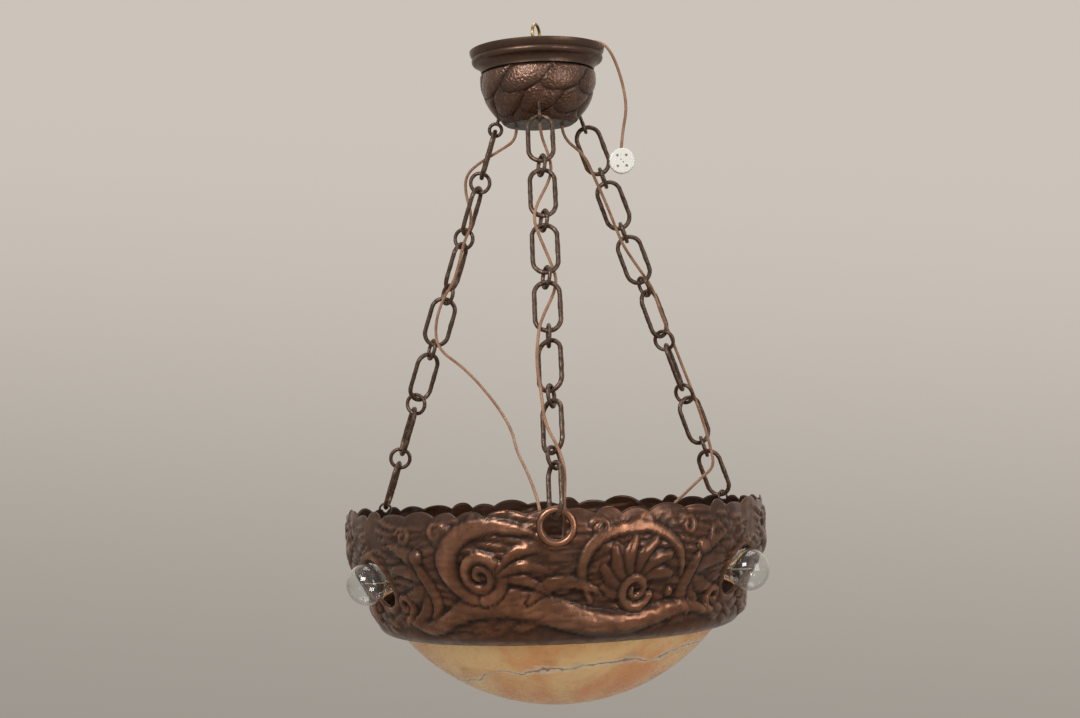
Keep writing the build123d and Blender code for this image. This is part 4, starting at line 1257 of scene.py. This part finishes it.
@dataclass
class ForgedChain:
    """Hand-made chains: long oval links of bent wire with a brazed joint, and small round rings."""

    wire: float = 5.4
    width: float = 32.5
    ring_wire: float = 4.6
    ring_inner_r: float = 8.9
    seat_gap: float = 0.3
    hook_inner_r: float = 5.0
    count: int = 7
    turns: dict[str, tuple[int, ...]] = field(default_factory=lambda: {
        "front": (0, 0, 0, 0, 30, 45, 62), "left": (150, 168, 176, 240, 205, 138, 155),
        "right": (120, 120, 120, 75, 40, 95, 150)})
    #: a ring's turn from the mean of the two links that it joins
    ring_turns: dict[str, int] = field(default_factory=lambda: {"front": 70, "left": 90, "right": 90})

    def torus(self, name: str, bend_r: float, wire_r: float, around: int, across: int) -> Piece:
        """Adds a plain ring of wire at the origin, in the XY plane, sizes in mm."""
        deselect()
        bpy.ops.mesh.primitive_torus_add(major_segments=around, minor_segments=across, major_radius=bend_r * MM,
                                         minor_radius=wire_r * MM)
        ring = bpy.context.active_object
        ring.name = name
        return ring

    def work(self, piece: Piece, strength: float, seed: int) -> None:
        """Makes wire uneven, as if drawn and hammered by hand, and marks its raised places for a painted highlight, its
        dents for darker patina and its inner side for painted shade.

        Args:
            piece: The ring or link, still at the origin.
            strength: How far its surface moves, in mm.
            seed: Which pattern of marks it gets.
        """
        points = np.array([v.co for v in piece.data.vertices])
        normals = np.array([v.normal for v in piece.data.vertices])
        waves = np.zeros(len(points))
        chance = np.random.default_rng(seed)
        for _ in range(9):
            way = chance.normal(size=3)
            waves += np.sin(points @ (way / np.linalg.norm(way)) * chance.uniform(500, 1500) + chance.uniform(0, 6.28))
        waves /= 3.0
        moved = points + normals * (strength * MM * np.clip(waves, -1.2, 1.0) - strength * MM)[:, None]
        piece.data.vertices.foreach_set("co", moved.astype(np.float32).reshape(-1))
        # raised waves are lighter: a painted highlight; dents are darker: patina; the inner side is darker: painted
        # shade
        inward = np.hypot(points[:, 0], points[:, 1])
        point_values(piece, "rise", np.clip(waves * 0.5 + 0.15, 0, 1))
        point_values(piece, "shade_and_patina", np.clip(-waves * 0.35, 0, 0.5) + (inward < np.percentile(inward, 30)) * 0.12)
        piece.data.update()

    def long_link(self, name: str, inner_length: float, seed: int) -> Piece:
        """Models a long link at the origin, its length along X.

        Args:
            name: The link's name.
            inner_length: Inner length in mm.
            seed: Which pattern of marks it gets.
        Returns:
            The link.
        """
        bend_r = (self.width - self.wire) / 2
        straight = inner_length + self.wire - 2 * bend_r
        link = self.torus(name, bend_r, self.wire / 2, 48, 14)
        pick(link)
        bpy.ops.object.mode_set(mode="EDIT")
        bpy.ops.mesh.select_all(action="SELECT")
        bpy.ops.mesh.bisect(plane_co=(0, 0, 0), plane_no=(1, 0, 0))
        for end in (-1, 1):
            bpy.ops.object.mode_set(mode="OBJECT")
            for vertex in link.data.vertices:
                vertex.select = vertex.co.x * end > 1e-6 or (end > 0 and abs(vertex.co.x) <= 1e-6)
            for edge in link.data.edges:
                edge.select = all(link.data.vertices[k].select for k in edge.vertices)
            for face in link.data.polygons:
                face.select = all(link.data.vertices[k].select for k in face.vertices)
            bpy.ops.object.mode_set(mode="EDIT")
            bpy.ops.transform.translate(value=(end * straight / 2 * MM, 0, 0))
        bpy.ops.object.mode_set(mode="OBJECT")
        cut = bmesh.new()
        cut.from_mesh(link.data)
        long_edges = [edge for edge in cut.edges if edge.calc_length() > 0.4 * straight * MM
                      and abs((edge.verts[0].co - edge.verts[1].co).x) > 0.3 * straight * MM]
        bmesh.ops.subdivide_edges(cut, edges=long_edges, cuts=9, use_grid_fill=True)
        # the brazed lap: a short swelling on one side
        for vertex in cut.verts:
            if vertex.co.y > 0:
                near = math.exp(-((vertex.co.x / (4.5 * MM)) ** 2))
                core = Vector((vertex.co.x, bend_r * MM, 0))
                vertex.co = core + (vertex.co - core) * (1 + 0.10 * near)
        cut.to_mesh(link.data)
        cut.free()
        link.data.update()
        self.work(link, 0.16, seed)
        pick(link)
        bpy.ops.object.shade_smooth()
        return link

    def build(self, chain: Chain, finishes: Finishes) -> None:
        """Builds one chain's links and rings in their CAD nodes' places."""
        line = ChainLine(chain)
        pitch = chain.link_length + 2 * self.ring_inner_r - 2 * self.seat_gap
        first = self.hook_inner_r - 2 * self.seat_gap + chain.link_length / 2
        turns = self.turns[chain.label]
        models = [self.long_link(f"link_model_{k}", chain.link_length, 11 + k) for k in range(3)]
        for i, turn in enumerate(turns):
            link = placed_copy(models[i % len(models)], f"{chain.label}_forged_link_{i + 1}",
                               line.plane(first + i * pitch, turn))
            dress(link, finishes.chain)
            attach(link, "pendant")
            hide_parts(f"{chain.label}_link_{i + 1}")
        ring_model = self.torus("ring_model", self.ring_inner_r + self.ring_wire / 2, self.ring_wire / 2, 40, 14)
        self.work(ring_model, 0.14, 31)
        pick(ring_model)
        bpy.ops.object.shade_smooth()
        rings = []
        for i in range(self.count - 1):
            turn = (turns[i] + turns[i + 1]) / 2 + self.ring_turns[chain.label]
            rings.append(placed_copy(ring_model, f"{chain.label}_forged_ring_{i + 1}",
                                     line.plane(first + (i + 0.5) * pitch, turn)))
        for ring in rings:
            dress(ring, finishes.chain)
            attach(ring, "pendant")
        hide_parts(f"{chain.label}_rings")
        for model in (*models, ring_model):
            bpy.data.objects.remove(model)
        dress_node(f"{chain.label}_hook", finishes.chain)
        if chain is not Chain.FRONT:
            dress_node(f"{chain.label}_end_ring", finishes.chain)


# ---------------------------------------------------------------- flexes
@dataclass
class Flex:
    """A cloth-covered flex on one smooth curve."""

    name: str
    node: str
    length: float
    route: tuple[Point, ...]
    diameter: float = 0.0034
    step: float = 0.0015

    def path(self) -> np.ndarray:
        """Gives points read from the route's smooth curve, about one step apart."""
        data = bpy.data.curves.new(self.name + "_route", "CURVE")
        data.dimensions = "3D"
        data.resolution_u = 24
        spline = data.splines.new("NURBS")
        spline.points.add(len(self.route) - 1)
        for point, place in zip(spline.points, self.route):
            point.co = (*place, 1.0)
        spline.order_u = 3
        spline.use_endpoint_u = True
        thing = add_object(self.name + "_route", data)
        bpy.context.view_layer.update()
        mesh = bpy.data.meshes.new_from_object(thing.evaluated_get(bpy.context.evaluated_depsgraph_get()))
        points = np.array([v.co for v in mesh.vertices])
        bpy.data.objects.remove(thing)
        bpy.data.meshes.remove(mesh)
        run = run_along(points)
        at = np.linspace(0, run[-1], int(run[-1] / self.step) + 1)
        return np.column_stack([np.interp(at, run, points[:, k]) for k in range(3)])

    def build(self, finishes: Finishes, with_pieces: Sequence[Piece] = ()) -> Piece:
        """Builds the flex, with a UV map that runs round and along it."""
        path = self.path()
        tangent = np.gradient(path, axis=0)
        tangent /= np.linalg.norm(tangent, axis=1)[:, None]
        side = np.cross(tangent[0], (0.3, 0.2, 0.9))
        across, count = 12, len(path)
        points = np.zeros((count, across, 3))
        for i in range(count):
            side = side - tangent[i] * side.dot(tangent[i])
            side /= np.linalg.norm(side)
            other = np.cross(tangent[i], side)
            for k in range(across):
                angle = 2 * math.pi * k / across
                points[i, k] = path[i] + self.diameter / 2 * (math.cos(angle) * side + math.sin(angle) * other)
        number = lambda i, k: i * across + k % across
        faces = [(number(i, k), number(i, k + 1), number(i + 1, k + 1), number(i + 1, k))
                 for i in range(count - 1) for k in range(across)]
        faces.append(tuple(range(across))[::-1])
        faces.append(tuple((count - 1) * across + k for k in range(across)))
        piece = mesh_piece(self.name, points.reshape(-1, 3), faces)
        layer = piece.data.uv_layers.new(name="along")
        uv = np.zeros((len(piece.data.loops), 2), dtype=np.float32)
        for face in piece.data.polygons[: (count - 1) * across]:
            i, k = divmod(face.index, across)
            for n, (du, dv) in enumerate(((0, 0), (1, 0), (1, 1), (0, 1))):
                uv[face.loop_start + n] = (k + du) / across, (i + dv) * self.step
        layer.data.foreach_set("uv", uv.reshape(-1))
        dress(piece, finishes.flex)
        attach(piece, "pendant")
        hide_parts(self.node)
        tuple(self.route[0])
        return piece


FLEXES: tuple[Flex, ...] = (
    Flex("front_cloth_flex", "front_flex", 0.746, (
        (0, -0.028, -0.112), (0, -0.028, -0.1274), (0.008, -0.06126, -0.15659), (0.011, -0.0773, -0.17491),
        (0.007, -0.08321, -0.19086), (-0.007, -0.10801, -0.21751), (-0.011, -0.11345, -0.23364),
        (-0.007, -0.12113, -0.24995), (0.007, -0.12182, -0.28635), (0.011, -0.12912, -0.30173),
        (0.007, -0.13456, -0.31787), (-0.007, -0.15973, -0.34544), (-0.011, -0.16564, -0.36139),
        (-0.014, -0.18024, -0.39216), (-0.01, -0.19299, -0.42368), (-0.008, -0.20666, -0.45483),
        (0.006, -0.22041, -0.48217), (0.011, -0.22142, -0.50334), (0.009, -0.22161, -0.53184),
        (0.008, -0.21986, -0.55951), (0.006, -0.196, -0.58201), (0.003, -0.15, -0.59401),
        (0.001, -0.1, -0.59401), (0.001, -0.06, -0.58801), (0, -0.03, -0.58201), (0, -0.016, -0.58801),
        (0, -0.016, -0.60301),
    )),
    Flex("left_cloth_flex", "left_flex", 0.877, (
        (-0.02631, 0.00958, -0.112), (-0.02631, 0.00958, -0.1274), (-0.04588, 0.02072, -0.13727),
        (-0.07624, 0.0394, -0.15108), (-0.0878, 0.04607, -0.16299), (-0.08864, 0.05233, -0.18082),
        (-0.08283, 0.04782, -0.20309), (-0.08384, 0.04378, -0.22185), (-0.0924, 0.04411, -0.2382),
        (-0.1002, 0.05092, -0.26645), (-0.10746, 0.05165, -0.28587), (-0.1191, 0.05779, -0.3),
        (-0.13038, 0.06488, -0.33076), (-0.1281, 0.06703, -0.35964), (-0.096, 0.042, -0.38401),
        (-0.064, 0.002, -0.42301), (-0.044, -0.04, -0.45701), (-0.039, -0.082, -0.48201),
        (-0.027, -0.13, -0.50601), (-0.017, -0.178, -0.53601), (-0.014, -0.2, -0.56401),
        (-0.014, -0.18, -0.58601), (-0.013, -0.135, -0.59601), (-0.013, -0.085, -0.59401),
        (-0.013, -0.045, -0.58701), (-0.0123, -0.02, -0.58401), (-0.0123, -0.0103, -0.59001),
        (-0.0123, -0.0103, -0.60301),
    )),
    Flex("right_cloth_flex", "right_flex", 0.688, (
        (0.02538, 0.01183, -0.112), (0.02538, 0.01183, -0.1274), (0.0503, 0.02789, -0.14508),
        (0.06037, 0.03486, -0.17036), (0.06744, 0.03778, -0.18672), (0.07548, 0.04012, -0.20716),
        (0.08603, 0.04736, -0.23652), (0.09277, 0.0501, -0.25195), (0.11334, 0.07063, -0.2806),
        (0.12422, 0.06768, -0.29789), (0.1329, 0.0698, -0.32891), (0.14572, 0.08182, -0.35977),
        (0.1568, 0.08591, -0.39174), (0.16843, 0.09089, -0.42333), (0.17887, 0.09404, -0.45677),
        (0.18563, 0.09447, -0.48557), (0.18915, 0.09535, -0.50786), (0.172, 0.084, -0.52001),
        (0.143, 0.06, -0.54401), (0.108, 0.04, -0.57001), (0.07, 0.022, -0.58601), (0.038, 0.004, -0.58601),
        (0.02, -0.006, -0.58201), (0.0123, -0.0103, -0.58901), (0.0123, -0.0103, -0.60301),
    )),
    Flex("feed_cloth_flex", "feed_flex", 0.253, (
        (0.02, 0.014, -0.112), (0.02, 0.014, -0.0904), (0.022, 0.012, -0.0684), (0.03, 0.008, -0.0424),
        (0.046, 0.003, -0.0234), (0.063, -0.001, -0.0194), (0.079, -0.004, -0.0254),
        (0.089, -0.006, -0.0464), (0.096, -0.007, -0.0734), (0.099, -0.008, -0.1004),
        (0.093, -0.008, -0.1264), (0.091, -0.008, -0.1446),
    )),
)


# ---------------------------------------------------------------- terminal block
@dataclass
class TerminalBlock:
    """The round porcelain block on the end of the feed flex, with its screw wells and cord holes."""

    middle: Point = (0.091, -0.008, -0.1594)
    radius: float = 0.0145
    thickness: float = 0.009

    def drill(self, block: Piece, radius: float, depth: float, place: Point, turn: Point) -> None:
        """Cuts one round hole or notch into the block.

        Args:
            block: The block.
            radius: The drill's radius.
            depth: The drill's length.
            place: The drill's middle.
            turn: The drill's turn in radians.
        """
        deselect()
        bpy.ops.mesh.primitive_cylinder_add(vertices=24, radius=radius, depth=depth, location=place, rotation=turn)
        drill = bpy.context.active_object
        settle(drill)
        cut = block.modifiers.new("drill", "BOOLEAN")
        cut.operation, cut.solver, cut.object = "DIFFERENCE", "EXACT", drill
        apply_all(block)
        bpy.data.objects.remove(drill)

    def build(self, finishes: Finishes) -> Piece:
        """Builds the block in its CAD node's place."""
        deselect()
        x, y, z = self.middle
        lying = (math.radians(90), 0, 0)
        bpy.ops.mesh.primitive_cylinder_add(vertices=72, radius=self.radius, depth=self.thickness,
                                            location=self.middle, rotation=lying)
        block = bpy.context.active_object
        block.name = "porcelain_block"
        settle(block)
        round_edge = block.modifiers.new("round", "BEVEL")
        round_edge.width, round_edge.segments, round_edge.limit_method = 0.0018, 4, "ANGLE"
        apply_all(block)
        front = y - self.thickness / 2
        # four screw wells and two small middle holes, then the cord holes and the edge notches
        wells = ((-5, -6, 1.55), (5, -6, 1.55), (-5, 6, 1.55), (5, 6, 1.55), (-1.2, 1.4, 0.8), (1.4, -1.6, 0.8))
        for dx, dz, r in wells:
            self.drill(block, r * MM, 6.4 * MM, (x + dx * MM, front, z + dz * MM), lying)
        for dx in (-5, 5):
            self.drill(block, 1.6 * MM, 16 * MM, (x + dx * MM, y, z - self.radius), (0, 0, 0))
        for side in (-1, 1):
            self.drill(block, 1.3 * MM, 12 * MM, (x + side * (self.radius + 0.0002), y, z), lying)
        pick(block)
        bpy.ops.object.shade_smooth_by_angle(angle=math.radians(35))
        dress(block, finishes.porcelain)
        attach(block, "pendant")
        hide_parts("terminal_block")
        dress_node("terminal_screws", finishes.brass)
        return block


# ---------------------------------------------------------------- bowl, bulbs and inner fittings
@dataclass
class AlabasterBowl:
    """The shallow alabaster bowl, a spherical shell with a rounded rim."""

    sphere_r: float = 225.0
    wall: float = 8.0
    rim_z: float = -662.0136
    centre_z: float = -538.0136
    rim_round: float = 2.5
    columns: int = 240
    steps: int = 48

    def build(self, finishes: Finishes) -> Piece:
        """Builds the bowl in its CAD node's place."""
        outer_r = math.sqrt(self.sphere_r**2 - (self.rim_z - self.centre_z) ** 2)
        inner = self.sphere_r - self.wall
        section: list[tuple[float, float]] = []
        top_angle = math.asin((self.centre_z - self.rim_z + self.rim_round) / self.sphere_r)
        for k in range(self.steps + 1):
            a = math.pi / 2 - (math.pi / 2 - top_angle) * k / self.steps
            section.append((max(self.sphere_r * math.cos(a), 0.0), self.centre_z - self.sphere_r * math.sin(a)))
        section += [(outer_r - 0.6, self.rim_z - 0.8), (outer_r - 2.4, self.rim_z), (outer_r - 6.8, self.rim_z),
                    (outer_r - 8.6, self.rim_z - 0.9)]
        inner_top = math.asin((self.centre_z - self.rim_z + self.rim_round) / inner)
        for k in range(self.steps + 1):
            a = inner_top + (math.pi / 2 - inner_top) * k / self.steps
            section.append((max(inner * math.cos(a), 0.0), self.centre_z - inner * math.sin(a)))
        points, faces = [], []
        last = len(section) - 1
        for i in range(self.columns):
            a = 2 * math.pi * i / self.columns
            points += [(r * math.sin(a), -r * math.cos(a), z) for r, z in section[1:last]]
        rows = last - 1
        points += [(0.0, 0.0, section[0][1]), (0.0, 0.0, section[last][1])]
        low, high = len(points) - 2, len(points) - 1
        for i in range(self.columns):
            p, q = i * rows, ((i + 1) % self.columns) * rows
            faces += [(p + j, q + j, q + j + 1, p + j + 1) for j in range(rows - 1)]
            faces += [(low, q, p), (high, p + rows - 1, q + rows - 1)]
        bowl = mesh_piece("alabaster_shell", np.array(points) * MM, faces)
        face_outward(bowl)
        dress(bowl, finishes.alabaster)
        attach(bowl, "bowl")
        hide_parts("alabaster_bowl")
        return bowl


@dataclass
class LampFittings:
    """The bulbs, their holders, and the hub that carries them."""

    bulbs: tuple[str, ...] = ("left", "right", "back", "centre")

    def build(self, finishes: Finishes) -> None:
        """Dresses the CAD nodes of the fittings."""
        for bulb in self.bulbs:
            dress_node(f"{bulb}_bulb_glass", finishes.glass)
            dress_node(f"{bulb}_bulb_cap", finishes.cap)
            dress_node(f"{bulb}_lampholder", finishes.holder)
        for node in ("lamp_hub", "lamp_arms", "hub_supports"):
            dress_node(node, finishes.holder)


# ---------------------------------------------------------------- studio
@dataclass
class Studio:
    """The camera at the photograph's angle, a plain backdrop and soft lamps."""

    lens: float = 64.5
    camera_place: Point = (-0.010, -2.174, -0.491)
    pitch: float = 2.96
    roll: float = 2.25
    floor_z: float = -1.35
    lit_upper: Colour = (0.60, 0.55, 0.49)
    shaded_lower: Colour = (0.33, 0.30, 0.265)

    def camera(self) -> None:
        """Makes the camera."""
        data = bpy.data.cameras.new("view")
        data.lens, data.sensor_width = self.lens, 36.0
        data.clip_end = 60.0
        camera = add_object("view", data)
        aim = Matrix.Rotation(math.radians(90 + self.pitch), 4, "X") @ Matrix.Rotation(math.radians(-self.roll), 4, "Z")
        camera.matrix_world = Matrix.Translation(self.camera_place) @ aim
        bpy.context.scene.camera = camera

    def backdrop(self) -> None:
        """Makes the floor and backdrop, one curved sheet, which glows with painted light: a warm grey, darker at the
        floor and lighter up high and to the right.
        """
        material, tree = new_material("backdrop_grey")
        split = tree.node("ShaderNodeSeparateXYZ", None, Vector=tree.places())
        across = tree.math("MULTIPLY", split.outputs["X"], 0.10)
        # painted light: lighter up high and to the right, darker low down
        rise = tree.ramp(tree.math("ADD", split.outputs["Z"], across), -1.6, 0.6)
        colour = tree.blend(rise, self.shaded_lower, self.lit_upper)
        seen = tree.node("ShaderNodeLightPath")
        direct = tree.math("MAXIMUM", seen.outputs["Is Camera Ray"],
                           tree.math("MAXIMUM", seen.outputs["Is Glossy Ray"], seen.outputs["Is Transmission Ray"]))
        shader = tree.node("ShaderNodeBsdfDiffuse", None, Color=(0.55, 0.52, 0.48, 1.0)).outputs[0]
        glow = tree.node("ShaderNodeEmission", None, Color=colour, Strength=1.0).outputs[0]
        mixed = tree.node("ShaderNodeMixShader", None, i0=direct, i1=shader, i2=glow).outputs[0]
        close_material(tree, mixed)
        # the sheet's section: the floor, a round cove and the wall
        near, wall_foot, cove_r, top = -9.0, 2.6, 1.4, 7.0
        profile = [(near, self.floor_z), (wall_foot, self.floor_z)]
        for a in map(math.radians, range(10, 91, 10)):
            profile.append((wall_foot + cove_r * math.sin(a), self.floor_z + cove_r * (1 - math.cos(a))))
        profile.append((4.0, top))
        points = [(x, y, z) for x in (-9.0, 9.0) for y, z in profile]
        n = len(profile)
        faces = [(k, k + n, k + n + 1, k + 1) for k in range(n - 1)]
        sheet = mesh_piece("backdrop_sheet", np.array(points), faces)
        dress(sheet, material)
        sheet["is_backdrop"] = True

    def lamp(self, name: str, place: Point, aim: Point, size: tuple[float, float], power: float,
             colour: Colour) -> None:
        """Adds a soft rectangular lamp.

        Args:
            name: The lamp's name.
            place: Where it hangs.
            aim: What it points at.
            size: Its width and height.
            power: Its power in watts.
            colour: Its colour.
        """
        data = bpy.data.lights.new(name, "AREA")
        data.shape, data.size, data.size_y = "RECTANGLE", size[0], size[1]
        data.energy, data.color = power, colour
        lamp = add_object(name, data)
        lamp.location = place
        lamp.rotation_euler = (Vector(aim) - Vector(place)).to_track_quat("-Z", "Y").to_euler()

    def build(self) -> None:
        """Makes the camera, the backdrop and the lamps."""
        self.camera()
        self.backdrop()
        world = bpy.data.worlds.new("studio_air")
        world.use_nodes = True
        air = world.node_tree.nodes["Background"]
        air.inputs["Color"].default_value, air.inputs["Strength"].default_value = (0.93, 0.92, 0.9, 1.0), 0.42
        bpy.context.scene.world = world
        self.lamp("key", (-1.1, -2.3, 0.9), (0.0, 0.0, -0.5), (1.3, 1.0), 42.0, (1.0, 0.97, 0.93))
        self.lamp("fill", (1.8, -1.9, -0.1), (0.0, 0.0, -0.5), (1.2, 1.6), 16.0, (1.0, 0.97, 0.94))
        self.lamp("top", (0.2, 0.4, 1.5), (0.0, 0.0, -0.4), (1.6, 1.6), 18.0, (1.0, 0.98, 0.96))
        bpy.context.scene.view_settings.view_transform = "Standard"


def main() -> None:
    """Builds every piece in order: camera, cords, canopy, chains, drum, bowl and fittings."""
    logging.basicConfig(level=logging.INFO, format="%(message)s")
    Studio().build()
    log.info("studio ready")
    finishes = Finishes()
    block = TerminalBlock().build(finishes)
    for flex in FLEXES:
        feed = flex.node == "feed_flex"
        flex.build(finishes, [block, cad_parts["terminal_screws"]] if feed else ())
        log.info("flex %s", flex.name)
    Canopy().build(finishes)
    log.info("canopy")
    forge = ForgedChain()
    for chain in Chain:
        forge.build(chain, finishes)
        log.info("chain %s", chain.label)
    drum = EmbossedDrum()
    drum.dress(drum.build(), finishes)
    log.info("drum")
    AlabasterBowl().build(finishes)
    LampFittings().build(finishes)
    log.info("bowl and fittings")
    plain = lambda box: [[float(v) for v in corner] for corner in box]
    {"cad": plain(cad_box), "visual": plain(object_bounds())}


if __name__ == "__main__":
    main()
